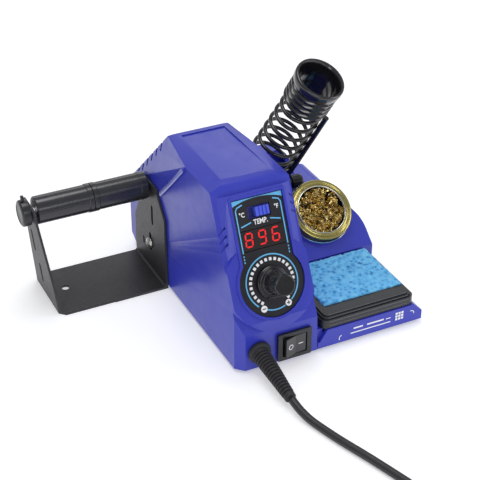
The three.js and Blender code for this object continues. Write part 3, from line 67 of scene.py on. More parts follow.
# Working planes, in the CAD frame
FACE_ANGLE = math.radians(65)
DIAL = at((-35.85, -68.506, 48.65), X, (0, -math.sin(FACE_ANGLE), math.cos(FACE_ANGLE)))
FACE = 3.0                       # fascia's surface on the dial plane
TIN = at((33.7, -2.8, 41.8), X, (0, -math.cos(math.radians(50)), math.sin(math.radians(50))))
HOLDER_AXIS = Vector((0.178, -0.473, 0.863)).normalized()
HOLDER_FOOT = Vector((14.8, 34.6, 62.7))
HOLDER = at(HOLDER_FOOT, X, HOLDER_AXIS)
PIVOT_AT = Vector((21, 32.5, 44.4))
PIVOT = at(PIVOT_AT, Y, X)
ROLLER = at((0, 46, 59.5), Y, X)
IRON = at((0, -320, 7.95), Y, (-1, 0, math.tan(math.radians(2.4))))
FLOOR = -2.0

# ------------------------------------------------------------------ materials


class Nodes:
    """Short helpers round one material's node tree."""

    def __init__(self, name):
        self.mat = bpy.data.materials.new(name)
        self.mat.use_nodes = True
        self.t = self.mat.node_tree
        self.bsdf = self.t.nodes["Principled BSDF"]
        self.coord = self.t.nodes.new("ShaderNodeTexCoord").outputs["Object"]

    def add(self, kind, inputs=None, **props):
        n = self.t.nodes.new(kind)
        for k, v in props.items():
            setattr(n, k, v)
        for k, v in (inputs or {}).items():
            self.put(n.inputs[k], v)
        return n

    def put(self, socket, value):
        if hasattr(value, "is_output") or hasattr(value, "links"):
            self.t.links.new(value, socket)
        else:
            socket.default_value = value

    def noise(self, size_mm, detail=3.0, rough=0.55, vector=None):
        n = self.add("ShaderNodeTexNoise", {"Scale": 1000.0 / size_mm, "Detail": detail, "Roughness": rough})
        self.t.links.new(vector or self.coord, n.inputs["Vector"])
        return n.outputs["Fac"]

    def span(self, fac, lo, hi, out_lo, out_hi):
        return self.add("ShaderNodeMapRange", {"Value": fac, "From Min": lo, "From Max": hi,
                                               "To Min": out_lo, "To Max": out_hi}).outputs["Result"]

    def ramp(self, fac, stops):
        n = self.add("ShaderNodeValToRGB", {"Fac": fac})
        e = n.color_ramp.elements
        while len(e) < len(stops):
            e.new(0.5)
        for el, (p, c) in zip(e, stops):
            el.position, el.color = p, (*c, 1)
        return n.outputs["Color"]

    def bump(self, height, strength, distance_mm, normal=None):
        inputs = {"Height": height, "Strength": strength, "Distance": distance_mm * MM}
        n = self.add("ShaderNodeBump", inputs)
        if normal:
            self.t.links.new(normal, n.inputs["Normal"])
        return n.outputs["Normal"]

    def math(self, op, a, b=0.0):
        n = self.add("ShaderNodeMath", operation=op)
        self.put(n.inputs[0], a)
        self.put(n.inputs[1], b)
        return n.outputs[0]

    def set(self, **values):
        for k, v in values.items():
            self.put(self.bsdf.inputs[k.replace("_", " ")], v)
        return self


def lin(r, g, b):
    """An sRGB colour, 0 to 255, as linear values."""
    return tuple((c / 255 / 12.92) if c / 255 <= 0.04045 else ((c / 255 + 0.055) / 1.055) ** 2.4
                 for c in (r, g, b))


def tone(colour, k):
    return tuple(min(1.0, c * k) for c in colour)


def moulded(name, colour, rough, grain_mm=0.35, grain=0.12, vary=0.05, coat=0.0, metal=0.0, spec=0.5):
    """Moulded plastic or paint: a fine grain in the surface, and slow changes of tone and gloss."""
    n = Nodes(name)
    slow = n.noise(26, 2)
    mid = n.noise(3.2, 4)
    colour = n.ramp(n.math("ADD", n.math("MULTIPLY", slow, 0.7), n.math("MULTIPLY", mid, 0.3)),
                    [(0.3, tone(colour, 1 - vary)), (0.7, tone(colour, 1 + vary))])
    n.set(Base_Color=colour, Metallic=metal, Specular_IOR_Level=spec,
          Roughness=n.span(n.noise(7, 3), 0.3, 0.7, rough * 0.86, rough * 1.14),
          Coat_Weight=coat, Coat_Roughness=0.12)
    n.set(Normal=n.bump(n.noise(grain_mm, 2), grain, 0.04))
    return n.mat


def metal(name, colour, rough, brush_mm=0.25, streak=(1, 1, 12), strength=0.15, vary=0.08):
    """Bare or plated metal: fine streaks along one direction and a cloudy gloss."""
    n = Nodes(name)
    m = n.add("ShaderNodeMapping", {"Vector": n.coord, "Scale": tuple(1.0 / s for s in streak)})
    streaks = n.noise(brush_mm, 4, 0.6, m.outputs["Vector"])
    colour = n.ramp(n.noise(5, 4), [(0.3, tone(colour, 1 - vary)), (0.7, tone(colour, 1 + vary))])
    n.set(Base_Color=colour, Metallic=1.0,
          Roughness=n.span(n.noise(2.2, 4), 0.3, 0.7, rough * 0.75, rough * 1.3))
    n.set(Normal=n.bump(streaks, strength, 0.03))
    return n.mat


def sponge_material():
    n = Nodes("sponge_cellulose")
    pores = n.add("ShaderNodeTexVoronoi", {"Vector": n.coord, "Scale": 1000 / 3.0},
                  feature="F1").outputs["Distance"]
    small = n.add("ShaderNodeTexVoronoi", {"Vector": n.coord, "Scale": 1000 / 1.2},
                  feature="F1").outputs["Distance"]
    # Tone varies at random, and goes darker in the pits that the pores sink into the bump: painted shade in the
    # pores.
    mix = n.math("ADD", n.math("MULTIPLY", n.noise(4.6, 5, 0.7), 0.62), n.math("MULTIPLY", pores, 0.4))
    colour = n.ramp(mix, [(0.24, lin(20, 70, 112)), (0.36, lin(56, 136, 192)), (0.48, lin(98, 180, 232)),
                          (0.8, lin(130, 206, 244))])
    n.set(Base_Color=colour, Roughness=0.93, Specular_IOR_Level=0.2, Sheen_Weight=0.2,
          Subsurface_Weight=0.08, Subsurface_Scale=0.002)
    high = n.math("ADD", n.math("MULTIPLY", pores, 0.7), n.math("MULTIPLY", small, 0.5))
    n.set(Normal=n.bump(high, 0.75, 0.5))
    return n.mat


def wool_material():
    n = Nodes("brass_shavings")
    colour = n.ramp(n.noise(0.9, 4), [(0.3, lin(150, 108, 40)), (0.46, lin(244, 206, 104)), (0.58, lin(255,
                    244, 186))])
    n.set(Base_Color=colour, Metallic=1.0, Roughness=n.span(n.noise(0.5, 2), 0.3, 0.7, 0.16, 0.42))
    n.set(Normal=n.bump(n.noise(0.14, 2), 0.3, 0.03))
    return n.mat


def powder_coat(name, colour, rough):
    n = Nodes(name)
    peel = n.noise(0.55, 3, 0.6)
    n.set(Base_Color=n.ramp(n.noise(9, 4), [(0.3, tone(colour, 0.9)), (0.7, tone(colour, 1.12))]),
          Metallic=0.0,
          Roughness=n.span(n.noise(1.3, 3), 0.3, 0.7, rough - 0.06, rough + 0.08), Specular_IOR_Level=0.55)
    n.set(Normal=n.bump(peel, 0.28, 0.06))
    return n.mat


def laminations():
    n = Nodes("laminated_core")
    m = n.add("ShaderNodeMapping", {"Vector": n.coord})
    w = n.add("ShaderNodeTexWave", {"Vector": m.outputs["Vector"], "Scale": 1000 / 3.4, "Distortion": 0.2},
              wave_type="BANDS", bands_direction="Y").outputs["Fac"]
    n.set(Base_Color=n.ramp(w, [(0.2, lin(58, 60, 64)), (0.8, lin(120, 122, 126))]), Metallic=0.7,
          Roughness=0.5)
    n.set(Normal=n.bump(w, 0.5, 0.1))
    return n.mat


def glow(name, colour, strength):
    n = Nodes(name)
    tint = n.ramp(n.noise(1.6, 2), [(0.3, tone(colour, 0.88)), (0.7, tone(colour, 1.1))])
    n.set(Base_Color=(*tone(colour, 0.4), 1), Roughness=0.35, Emission_Color=tint, Emission_Strength=strength)
    return n.mat


BLUE = lin(47, 56, 176)
M = {
    "blue": moulded("blue_abs", BLUE, 0.33, 0.3, 0.01, 0.02, coat=0.08, spec=0.5),
    "fascia": moulded("fascia_film", lin(22, 22, 30), 0.32, 0.5, 0.06, 0.06),
    "display": moulded("display_window", lin(26, 12, 16), 0.14, 0.8, 0.02, 0.06, coat=0.4),
    "well": moulded("slider_well", lin(26, 34, 116), 0.4, 0.4, 0.1, 0.08),
    "slider": moulded("slider_cap", lin(74, 92, 216), 0.3, 0.3, 0.08, 0.05),
    "knob": moulded("knob_plastic", lin(14, 14, 17), 0.26, 0.3, 0.03, 0.06, coat=0.1, spec=0.5),
    "gloss": moulded("gloss_black", lin(22, 22, 25), 0.17, 0.5, 0.05, 0.08, coat=0.5),
    "black": moulded("satin_black", lin(33, 34, 38), 0.3, 0.3, 0.12, 0.07),
    # lighter grey for beads on the black tray's step edges: painted highlights
    "tray_painted_highlight": moulded("tray_painted_highlight", lin(84, 86, 92), 0.28, 0.3, 0.03, 0.05, coat=0.3),
    "roller": moulded("roller_plastic", lin(33, 34, 38), 0.24, 0.35, 0.06, 0.05, coat=0.2, spec=0.6),
    "plate": moulded("base_plate_matt", lin(46, 47, 52), 0.62, 0.5, 0.2, 0.06),
    "rubber": moulded("rubber", lin(32, 32, 35), 0.62, 0.25, 0.2, 0.08),
    "cord": moulded("cord_jacket", lin(34, 34, 37), 0.45, 0.3, 0.12, 0.08),
    "grip": moulded("grip_rubber", lin(48, 58, 168), 0.58, 0.25, 0.2, 0.06),
    "coat": powder_coat("powder_coat", lin(38, 38, 41), 0.44),
    "wire": moulded("black_lacquer", lin(15, 15, 17), 0.2, 0.5, 0.03, 0.05, coat=0.4),
    "steel": metal("zinc_steel", (0.62, 0.63, 0.65), 0.3),
    "bright": metal("bright_zinc", (0.5, 0.49, 0.47), 0.3, strength=0.1),
    "tip": metal("plated_tip", (0.42, 0.42, 0.43), 0.28),
    "gold": metal("gold_lacquer", lin(172, 160, 98), 0.22, 0.4, (8, 8, 1), 0.03, 0.05),
    "silver": metal("tin_silver", (0.78, 0.78, 0.77), 0.2, 0.4, (6, 6, 1), 0.08),
    "tin": powder_coat("tin_body", lin(52, 50, 48), 0.36),
    "wool": wool_material(),
    # dark brass under the curls: painted shade deep in the wool
    "wool_painted_shade": moulded("wool_shadow", lin(40, 27, 12), 0.5, 0.5, 0.6, 0.4, metal=0.6),
    "sponge": sponge_material(),
    "core": laminations(),
    "tape": moulded("polyester_tape", lin(206, 170, 66), 0.3, 0.6, 0.1, 0.05),
    "board": moulded("solder_mask", lin(20, 92, 54), 0.35, 0.7, 0.2, 0.12),
    "ceramic": moulded("heater_ceramic", lin(236, 232, 222), 0.35, 0.3, 0.05, 0.03),
    "cyan": moulded("cyan_print", lin(98, 182, 232), 0.4, 0.6, 0.05, 0.03),
    # lighter glossy blue for the rib on the left wall: painted highlight on the rib's edge
    "blue_painted_highlight": moulded("blue_abs_painted_highlight", lin(128, 134, 205), 0.25, 0.5, 0.05, 0.04, coat=0.5),
    "white": moulded("white_print", lin(238, 238, 240), 0.45, 0.6, 0.05, 0.02),
    "red": glow("led_red", (0.8, 0.008, 0.012), 0.95),
    "red_off": moulded("led_unlit", lin(44, 10, 14), 0.3, 0.6, 0.05, 0.05),
}

# ------------------------------------------------------------------ geometry helpers


def finish_mesh(mesh, angle=32.0):
    for p in mesh.polygons:
        p.use_smooth = True
    mesh.set_sharp_from_angle(angle=math.radians(angle))


def piece(name, mesh, material, body, nodes=(), slot=None, smooth=32.0):
    obj = bpy.data.objects.new(name, mesh)
    bpy.context.scene.collection.objects.link(obj)
    mesh.materials.clear()
    mesh.materials.append(material)
    if smooth:
        finish_mesh(mesh, smooth)
    if nodes:
        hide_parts(*nodes)
        slot = slot or SLOT[nodes[0]]
    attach(obj, body)
    return obj


def make(name, verts, faces, material, body, matrix=None, **more):
    mesh = bpy.data.meshes.new(name)
    m = matrix or Matrix()
    mesh.from_pydata([(m @ Vector(v)) * MM for v in verts], [], faces)
    bm = bmesh.new()
    bm.from_mesh(mesh)
    bmesh.ops.recalc_face_normals(bm, faces=bm.faces)
    bm.to_mesh(mesh)
    bm.free()
    return piece(name, mesh, material, body, **more)


def refined(node, material, width=0.5, segments=2, angle=30, smooth=32.0, dissolve=0.7):
    """A copy of a CAD node with its flat faces whole again and its edges rounded."""
    mesh = NODES[node].data.copy()
    bm = bmesh.new()
    bm.from_mesh(mesh)
    bmesh.ops.remove_doubles(bm, verts=bm.verts, dist=1e-6)
    bmesh.ops.dissolve_limit(bm, angle_limit=math.radians(dissolve), verts=bm.verts, edges=bm.edges)
    bm.to_mesh(mesh)
    bm.free()
    mesh.name = node + "_skin"
    obj = piece(node + "_skin", mesh, material, BODY[node], (node,), smooth=smooth)
    if width:
        b = obj.modifiers.new("edges", "BEVEL")
        b.width, b.segments = width * MM, segments
        b.limit_method, b.angle_limit = "ANGLE", math.radians(angle)
        b.use_clamp_overlap = True
        b.harden_normals = True
        b.miter_outer = "MITER_ARC"
    return obj


def ring_mesh(profile, sides, closed=False):
    """Vertices and faces of a profile [radius, height] turned about the third axis."""
    verts, faces, rows = [], [], []
    for r, z in profile:
        if r < 1e-6:
            rows.append([len(verts)])
            verts.append((0, 0, z))
        else:
            rows.append(list(range(len(verts), len(verts) + sides)))
            verts += [(r * math.cos(2 * math.pi * i / sides), r * math.sin(2 * math.pi * i / sides), z)
                      for i in range(sides)]
    pairs = list(zip(rows, rows[1:] + rows[:1] if closed else rows[1:]))
    for a, b in pairs:
        for i in range(sides):
            j = (i + 1) % sides
            if len(a) == 1 and len(b) == 1:
                continue
            if len(a) == 1:
                faces.append((a[0], b[i], b[j]))
            elif len(b) == 1:
                faces.append((a[i], a[j], b[0]))
            else:
                faces.append((a[i], a[j], b[j], b[i]))
    return verts, faces


def rounded(profile, radius=0.4, steps=3):
    """The profile with each corner off the axis rounded by this radius."""
    out = []
    for i, p in enumerate(profile):
        if i in (0, len(profile) - 1) or p[0] < 1e-6:
            out.append(tuple(p))
            continue
        a, b, c = Vector(profile[i - 1]), Vector(p), Vector(profile[i + 1])
        k = min(radius, (a - b).length * 0.45, (c - b).length * 0.45)
        start, end = b + (a - b).normalized() * k, b + (c - b).normalized() * k
        for s in range(steps + 1):
            t = s / steps
            out.append(tuple((start * (1 - t) + b * t) * (1 - t) + (b * (1 - t) + end * t) * t))
    return out


def turned(name, matrix, profile, material, body, sides=64, soft=0.35, closed=False, **more):
    pts = rounded(profile, soft) if soft and not closed else profile
    verts, faces = ring_mesh(pts, sides, closed)
    return make(name, verts, faces, material, body, matrix, **more)


def spline(points, step=2.0, closed=False):
    """Points on a smooth curve through the given ones, about `step` apart."""
    p = [Vector(q) for q in points]
    p = [p[0] * 2 - p[1], *p, p[-1] * 2 - p[-2]]
    out = []
    for i in range(1, len(p) - 2):
        a, b, c, d = p[i - 1:i + 3]
        n = max(2, round((c - b).length / step))
        ta = 0.0
        tb = ta + max((b - a).length, 1e-6) ** 0.5
        tc = tb + max((c - b).length, 1e-6) ** 0.5
        td = tc + max((d - c).length, 1e-6) ** 0.5
        for k in range(n):
            t = tb + (tc - tb) * k / n
            a1 = a * ((tb - t) / (tb - ta)) + b * ((t - ta) / (tb - ta))
            a2 = b * ((tc - t) / (tc - tb)) + c * ((t - tb) / (tc - tb))
            a3 = c * ((td - t) / (td - tc)) + d * ((t - tc) / (td - tc))
            b1 = a1 * ((tc - t) / (tc - ta)) + a2 * ((t - ta) / (tc - ta))
            b2 = a2 * ((td - t) / (td - tb)) + a3 * ((t - tb) / (td - tb))
            out.append(b1 * ((tc - t) / (tc - tb)) + b2 * ((t - tb) / (tc - tb)))
    out.append(p[-2])
    return out


def swept(points, section, caps=True, first=None):
    """Vertices and faces of a closed section [x, y] carried along points."""
    n = len(points)
    k = len(section)
    tangents = []
    for i in range(n):
        a, b = points[max(i - 1, 0)], points[min(i + 1, n - 1)]
        tangents.append((b - a).normalized())
    side = (first or (Z if abs(tangents[0].z) < 0.9 else X)).cross(tangents[0]).normalized()
    verts = []
    for p, t in zip(points, tangents):
        side = (side - t * side.dot(t)).normalized()
        up = t.cross(side)
        verts += [tuple(p + side * x + up * y) for x, y in section]
    faces = [(i * k + j, i * k + (j + 1) % k, (i + 1) * k + (j + 1) % k, (i + 1) * k + j)
             for i in range(n - 1) for j in range(k)]
    if caps:
        faces += [tuple(range(k))[::-1], tuple((n - 1) * k + j for j in range(k))]
    return verts, faces


def circle(radius, sides):
    return [(radius * math.cos(2 * math.pi * i / sides), radius * math.sin(2 * math.pi * i / sides))
            for i in range(sides)]


def slab(name, outline, z0, z1, material, body, matrix=None, hole=None, **more):
    """An outline extruded from z0 to z1; with hole (same point count) it is a closed band."""
    n = len(outline)
    if hole:
        verts = [(*p, z) for z in (z0, z1) for ring in (outline, hole) for p in ring]
        faces = []
        for i in range(n):
            j = (i + 1) % n
            a, b, c, d = i, j, n + j, n + i
            faces += [(a, b, c, d), (2 * n + a, 2 * n + d, 2 * n + c, 2 * n + b),
                      (a, 2 * n + a, 2 * n + b, b), (d, c, 2 * n + c, 2 * n + d)]
    else:
        verts = [(*p, z) for z in (z0, z1) for p in outline]
        faces = [tuple(range(n))[::-1], tuple(range(n, 2 * n))]
        faces += [(i, (i + 1) % n, n + (i + 1) % n, n + i) for i in range(n)]
    return make(name, verts, faces, material, body, matrix, **more)


def joined(name, chunks, material, body, matrix=None, **more):
    """One piece from several (vertices, faces) chunks."""
    verts, faces = [], []
    for v, f in chunks:
        k = len(verts)
        verts += v
        faces += [tuple(i + k for i in q) for q in f]
    return make(name, verts, faces, material, body, matrix, **more)


def slab_chunk(outline, z0, z1):
    n = len(outline)
    verts = [(*p, z) for z in (z0, z1) for p in outline]
    faces = [tuple(range(n))[::-1], tuple(range(n, 2 * n))]
    faces += [(i, (i + 1) % n, n + (i + 1) % n, n + i) for i in range(n)]
    return verts, faces


def band_chunk(line, width, z0, z1):
    """A flat band of constant width along an open line in the plane."""
    pts = [Vector(p) for p in line]
    left, right = [], []
    for i, p in enumerate(pts):
        t = (pts[min(i + 1, len(pts) - 1)] - pts[max(i - 1, 0)]).normalized()
        s = Vector((-t.y, t.x)) * (width / 2)
        left.append(tuple(p + s))
        right.append(tuple(p - s))
    return slab_chunk(left + right[::-1], z0, z1)


def arc(cx, cy, r, a0, a1, steps=24):
    return [(cx + r * math.cos(math.radians(a0 + (a1 - a0) * i / steps)),
             cy + r * math.sin(math.radians(a0 + (a1 - a0) * i / steps))) for i in range(steps + 1)]


def lettering(name, text, size, x, y, z, matrix, material, body, squeeze=1.0, turn=0.0, align="CENTER"):
    """Generic lettering as a thin mesh, centred at x, y on a working plane."""
    curve = bpy.data.curves.new(name, "FONT")
    curve.body, curve.size, curve.align_x, curve.align_y = text, size, align, "CENTER"
    curve.extrude, curve.resolution_u, curve.offset = 0.04, 3, 0.02 * size
    tmp = bpy.data.objects.new(name + "_tmp", curve)
    bpy.context.scene.collection.objects.link(tmp)
    dg = bpy.context.evaluated_depsgraph_get()
    mesh = bpy.data.meshes.new_from_object(tmp.evaluated_get(dg))
    bpy.data.objects.remove(tmp)
    place = matrix @ Matrix.Translation((x, y, z)) @ Matrix.Rotation(math.radians(turn), 4, "Z") \
        @ Matrix.Diagonal((squeeze, 1, 1, 1))
    mesh.transform(Matrix.Scale(MM, 4) @ place)
    return piece(name, mesh, material, body, smooth=30)


# ------------------------------------------------------------------ camera and stage
scene = bpy.context.scene
cam = bpy.data.objects.new("camera", bpy.data.cameras.new("camera"))
scene.collection.objects.link(cam)
scene.camera = cam
cam.data.lens, cam.data.sensor_width = 97.2, 36.0
cam.data.clip_start, cam.data.clip_end = 0.05, 20
TARGET = Vector((-0.02445, -0.00675, 0.038))
DISTANCE = 0.786                 # from the target back to the camera, in metres
AZ, EL = math.radians(-25.98), math.radians(32.2)
back = Vector((math.sin(AZ) * math.cos(EL), -math.cos(AZ) * math.cos(EL), math.sin(EL)))
cam.location = TARGET + back * DISTANCE
cam.rotation_euler = back.to_track_quat("Z", "Y").to_euler()

floor_mesh = bpy.data.meshes.new("floor")
REACH = 4                        # half the side of the floor, in metres
floor_mesh.from_pydata([(i * REACH, j * REACH, FLOOR * MM) for i, j in ((-1, -1), (1, -1), (1, 1), (-1, 1))],
                       [], [(0, 1, 2, 3)])
floor = bpy.data.objects.new("floor", floor_mesh)
scene.collection.objects.link(floor)
fl = Nodes("floor_white")
fl.set(Base_Color=fl.ramp(fl.noise(60, 2), [(0.3, (0.9, 0.9, 0.905)), (0.7, (0.92, 0.92, 0.92))]),
       Roughness=0.6, Specular_IOR_Level=0.2, Emission_Color=(1, 1, 1, 1), Emission_Strength=0.3)
floor_mesh.materials.append(fl.mat)

world = bpy.data.worlds.new("studio")
scene.world = world
world.use_nodes = True
world.node_tree.nodes["Background"].inputs["Color"].default_value = (0.95, 0.97, 1.0, 1)
world.node_tree.nodes["Background"].inputs["Strength"].default_value = 0.46


def softbox(name, place, aim, size, power):
    data = bpy.data.lights.new(name, "AREA")
    data.shape, data.size, data.size_y = "RECTANGLE", size[0], size[1]
    data.energy = power
    o = bpy.data.objects.new(name, data)
    o.location = place
    o.rotation_euler = (Vector(place) - Vector(aim)).to_track_quat("Z", "Y").to_euler()
    scene.collection.objects.link(o)
    return o


softbox("key_top", (-0.1, 0.15, 1.2), (0, 0, 0.03), (0.8, 0.5), 5.2)
softbox("left_low", (-0.95, -0.75, 0.22), (-0.03, -0.05, 0.03), (0.35, 0.3), 1.1)
softbox("front_strip", (-0.2, -1.15, 0.75), (-0.02, -0.05, 0.05), (0.9, 0.22), 3.0)
softbox("right_fill", (0.95, -0.5, 0.5), (0, 0, 0.04), (0.35, 0.7), 2.6)
softbox("back_rim", (0.45, 1.0, 0.6), (0, 0, 0.06), (0.9, 0.3), 1.0)
scene.view_settings.view_transform = "Standard"
scene.view_settings.look = "None"

# ------------------------------------------------------------------ the cord, before the rest
# The route's points are heights over the bench; everything here is lowered by the feet.
CORD_D = 4.8
RUN = [(-47.4, -119.4, 6.4), (-46.5, -126, 4.6), (-44.6, -134, 3), (-41.5, -144, 2.4), (-37, -158, 2.4),
       (-31.2, -174, 2.4), (-25.2, -192, 2.4), (-19.4, -210, 2.4), (-14.2, -226, 2.4), (-10.6, -241.2, 2.4)]
TAIL = [(-17.2, -232.3, 7.9), (-7, -233, 7.6), (5, -234.6, 5), (19, -237.6, 2.6), (36, -243.5, 2.5),
        (54, -253, 2.5), (69, -270, 2.6), (75, -291, 3.1), (69.5, -309, 5), (60, -318.4, 7.2), (47.9, -320,
            7.95)]
COIL_X, COIL_Y = -40.0, -262.0
COIL_OUT, COIL_IN = 31.2, 19.2
COIL_TURNS = 4.75
DOWN_TURNS = (COIL_OUT - COIL_IN) / CORD_D       # the lower layer winds inwards, the upper one out


def coil_points():
    pts = []
    steps = round(COIL_TURNS * 36)
    for i in range(steps + 1):
        turn = COIL_TURNS * i / steps
        if turn <= DOWN_TURNS:
            r = COIL_OUT - CORD_D * turn
        else:
            r = COIL_IN + CORD_D * (turn - DOWN_TURNS)
        k = min(1.0, max(0.0, (turn - (DOWN_TURNS - 0.22)) / 0.22))
        z = CORD_D / 2 + CORD_D * (3 * k * k - 2 * k ** 3)
        a = -2 * math.pi * turn
        pts.append((COIL_X + r * math.cos(a), COIL_Y + r * math.sin(a), z))
    return pts


lower = [Vector((x, y, z - 2.0)) for x, y, z in
         [*RUN, (-8.95, -251.5, 2.4), *coil_points(), (-28, -231.8, 7.4), *TAIL]]
route = spline(lower, 1.8)
cord_curve = bpy.data.curves.new("iron_cord", "CURVE")
cord_curve.dimensions = "3D"
cord_curve.bevel_depth, cord_curve.bevel_resolution = CORD_D / 2 * MM, 5
cord_curve.use_fill_caps = True
s = cord_curve.splines.new("POLY")
s.points.add(len(route) - 1)
for q, v in zip(s.points, route):
    q.co = (*(v * MM), 1)
cord = bpy.data.objects.new("iron_cord", cord_curve)
scene.collection.objects.link(cord)
cord_curve.materials.append(M["cord"])
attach(cord, "station")
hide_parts("iron_cord_run", "iron_cord_coil", "iron_cord_tail")

# ------------------------------------------------------------------ blue shells
refined("main_housing", M["blue"], 0.85, 3, 22, 26)
refined("side_deck", M["blue"], 0.6, 3, 28)
refined("tin_block", M["blue"], 0.7, 3, 28)
refined("holder_hood", M["blue"], 0.6, 3, 28)
# A thin bar along the real rib on the left wall, in a lighter blue: painted highlight on the rib's edge.
RIB_FACE = -62.35                # outer face of the rib across the left wall
rib = [Vector((RIB_FACE, y, z)) for y, z in ((-9.6, 97.2), (8.6, 79.2), (26.0, 62.6))]
verts, faces = swept(spline(rib, 3), [(0.45 * x, 1.5 * y) for x, y in circle(1, 12)])
make("wall_rib_painted_highlight", verts, faces, M["blue_painted_highlight"], "station", slot="blue_plastic")
for node, width, mat in [
    ("control_fascia", 0.12, "fascia"), ("display_module", 0.15, "display"), ("unit_switch_body", 0.15,
        "well"),
    ("unit_slider", 0.18, "slider"), ("power_switch_body", 0.35, "black"), ("power_rocker", 0.35, "gloss"),
    ("mains_inlet", 0.3, "black"), ("base_plate", 0.3, "plate"), ("transformer_core", 0.2, "core"),
    ("transformer_winding", 0.5, "tape"), ("transformer_strap", 0.15, "steel"), ("control_board", 0.1,
        "board"),
    ("sponge_tray", 0.55, "black"), ("reel_bracket", 0.22, "coat"), ("reel_axle_clip", 0.2, "black"),
]:
    refined(node, M[mat], width, 2, 30)
for node, mat in [("potentiometer_shaft", "steel"), ("potentiometer_body", "steel"), ("reel_axle", "steel"),
                  ("iron_heater", "ceramic")]:
    NODES[node].data.materials.clear()
    NODES[node].data.materials.append(M[mat])

# ------------------------------------------------------------------ control face
PRINT = 0.045                    # how far print stands over the fascia
SURF = FACE + 0.01
cyan, white = [], []
# Ring round the dial, open where the two sign discs sit
cyan.append(band_chunk(arc(0, 0, 15.9, -52, 228, 72), 0.75, SURF, SURF + PRINT))
cyan.append(band_chunk(arc(0, 0, 15.9, -112, -70, 14), 0.75, SURF, SURF + PRINT))
# Side rails, dashed towards the dial, with turned-in tops
for side in (-1, 1):
    cyan.append(band_chunk([(side * 13.9, 19.4), (side * 13.9, 43.6), (side * 12.9, 45.2), (side * 9.4,
                46.3)],
                           0.7, SURF, SURF + PRINT))
    for k in range(3):
        y = 18.2 - k * 1.7
        cyan.append(band_chunk([(side * 13.9, y), (side * 13.9, y - 1.0)], 0.7, SURF, SURF + PRINT))
    cyan.append(band_chunk([(side * 5.9, 35.6), (side * 12.2, 34.0)], 0.7, SURF, SURF + PRINT))
# Light band above an arc at the top
top_arc = arc(0, 5.4, 43.6, 111.2, 68.8, 20)
cyan.append(slab_chunk([(-15.35, 49.2), *[(max(-15.35, min(15.35, x)), min(y, 48.98)) for x, y in top_arc],
                        (15.35, 49.2)][::-1], SURF, SURF + PRINT))
joined("fascia_cyan", cyan, M["cyan"], "station", DIAL, slot="fascia_black")
TICKS = 24
for i in range(TICKS):
    a = math.radians(232 - 284 * i / (TICKS - 1))
    c = Vector((13.2 * math.cos(a), 13.2 * math.sin(a)))
    r, t = c.normalized(), Vector((-math.sin(a), math.cos(a)))
    quad = [tuple(c + r * u * 0.9 + t * v * 0.82) for u, v in ((-1, -1), (1, -1), (1, 1), (-1, 1))]
    white.append(slab_chunk(quad, SURF, SURF + PRINT))
for a in (241, 299):
    cx, cy = 15.9 * math.cos(math.radians(a)), 15.9 * math.sin(math.radians(a))
    white.append(slab_chunk([(cx + x, cy + y) for x, y in circle(1.95, 28)], SURF, SURF + PRINT + 0.02))
joined("fascia_ticks", white, M["white"], "station", DIAL, slot="fascia_black")
marks = []
for a in (241, 299):
    cx, cy = 15.9 * math.cos(math.radians(a)), 15.9 * math.sin(math.radians(a))
    h = SURF + PRINT + 0.03
    marks.append(slab_chunk([(cx - 1.1, cy - 0.26), (cx + 1.1, cy - 0.26), (cx + 1.1, cy + 0.26), (cx - 1.1,
                 cy + 0.26)],
                            h, h + 0.03))
    if a == 299:
        marks.append(slab_chunk([(cx - 0.26, cy - 1.1), (cx + 0.26, cy - 1.1), (cx + 0.26, cy + 1.1),
                                 (cx - 0.26, cy + 1.1)], h + 0.002, h + 0.032))
joined("dial_signs", marks, M["fascia"], "station", DIAL, slot="fascia_black")
lettering("temp_word", "TEMP.", 4.1, 0, 35.2, SURF + PRINT, DIAL, M["white"], "station", 0.82)
lettering("celsius_mark", "°C", 3.6, -10.6, 40.6, SURF + PRINT, DIAL, M["white"], "station", 0.85)
lettering("fahrenheit_mark", "°F", 3.6, 10.9, 41.2, SURF + PRINT, DIAL, M["white"], "station", 0.85)

# Seven-segment digits; segment letters run a to g
SEGMENTS = {"8": "abcdefg", "9": "abcdfg", "6": "acdefg"}
DIGIT_W, DIGIT_H, SEG = 4.0, 7.5, 0.85


def segment(letter, cx, cy):
    w, h, s = DIGIT_W / 2, DIGIT_H / 2, SEG / 2
    ends = {"a": ((-w, h), (w, h)), "g": ((-w, 0), (w, 0)), "d": ((-w, -h), (w, -h)),
            "f": ((-w, h), (-w, 0)), "b": ((w, h), (w, 0)), "e": ((-w, 0), (-w, -h)), "c": ((w, 0), (w, -h))}
    a, b = (Vector(p) for p in ends[letter])
    t = (b - a).normalized()
    n = Vector((-t.y, t.x)) * s
    a, b = a + t * 0.22, b - t * 0.22
    pts = [a, a + t * s + n, b - t * s + n, b, b - t * s - n, a + t * s - n]
    lean = 0.07
    return [(cx + p.x + lean * p.y, cy + p.y) for p in pts][::-1]


DISPLAY_Z = FACE - 0.2
lit, unlit = [], []
for k, digit in enumerate("896"):
    for letter in "abcdefg":
        outline = segment(letter, (k - 1) * 8.3 - 0.6, 26.1)
        if letter in SEGMENTS[digit]:
            lit.append(slab_chunk(outline, DISPLAY_Z + 0.01, DISPLAY_Z + 0.07))
        else:
            unlit.append(slab_chunk(outline, DISPLAY_Z + 0.01, DISPLAY_Z + 0.03))
    unlit.append(slab_chunk([((k - 1) * 8.3 + 2.5 + x, 22.4 + y) for x, y in circle(0.42, 12)],
                            DISPLAY_Z + 0.01, DISPLAY_Z + 0.03))
joined("digits_lit", lit, M["red"], "station", DIAL, slot="display_red")
joined("digits_unlit", unlit, M["red_off"], "station", DIAL, slot="display_red")

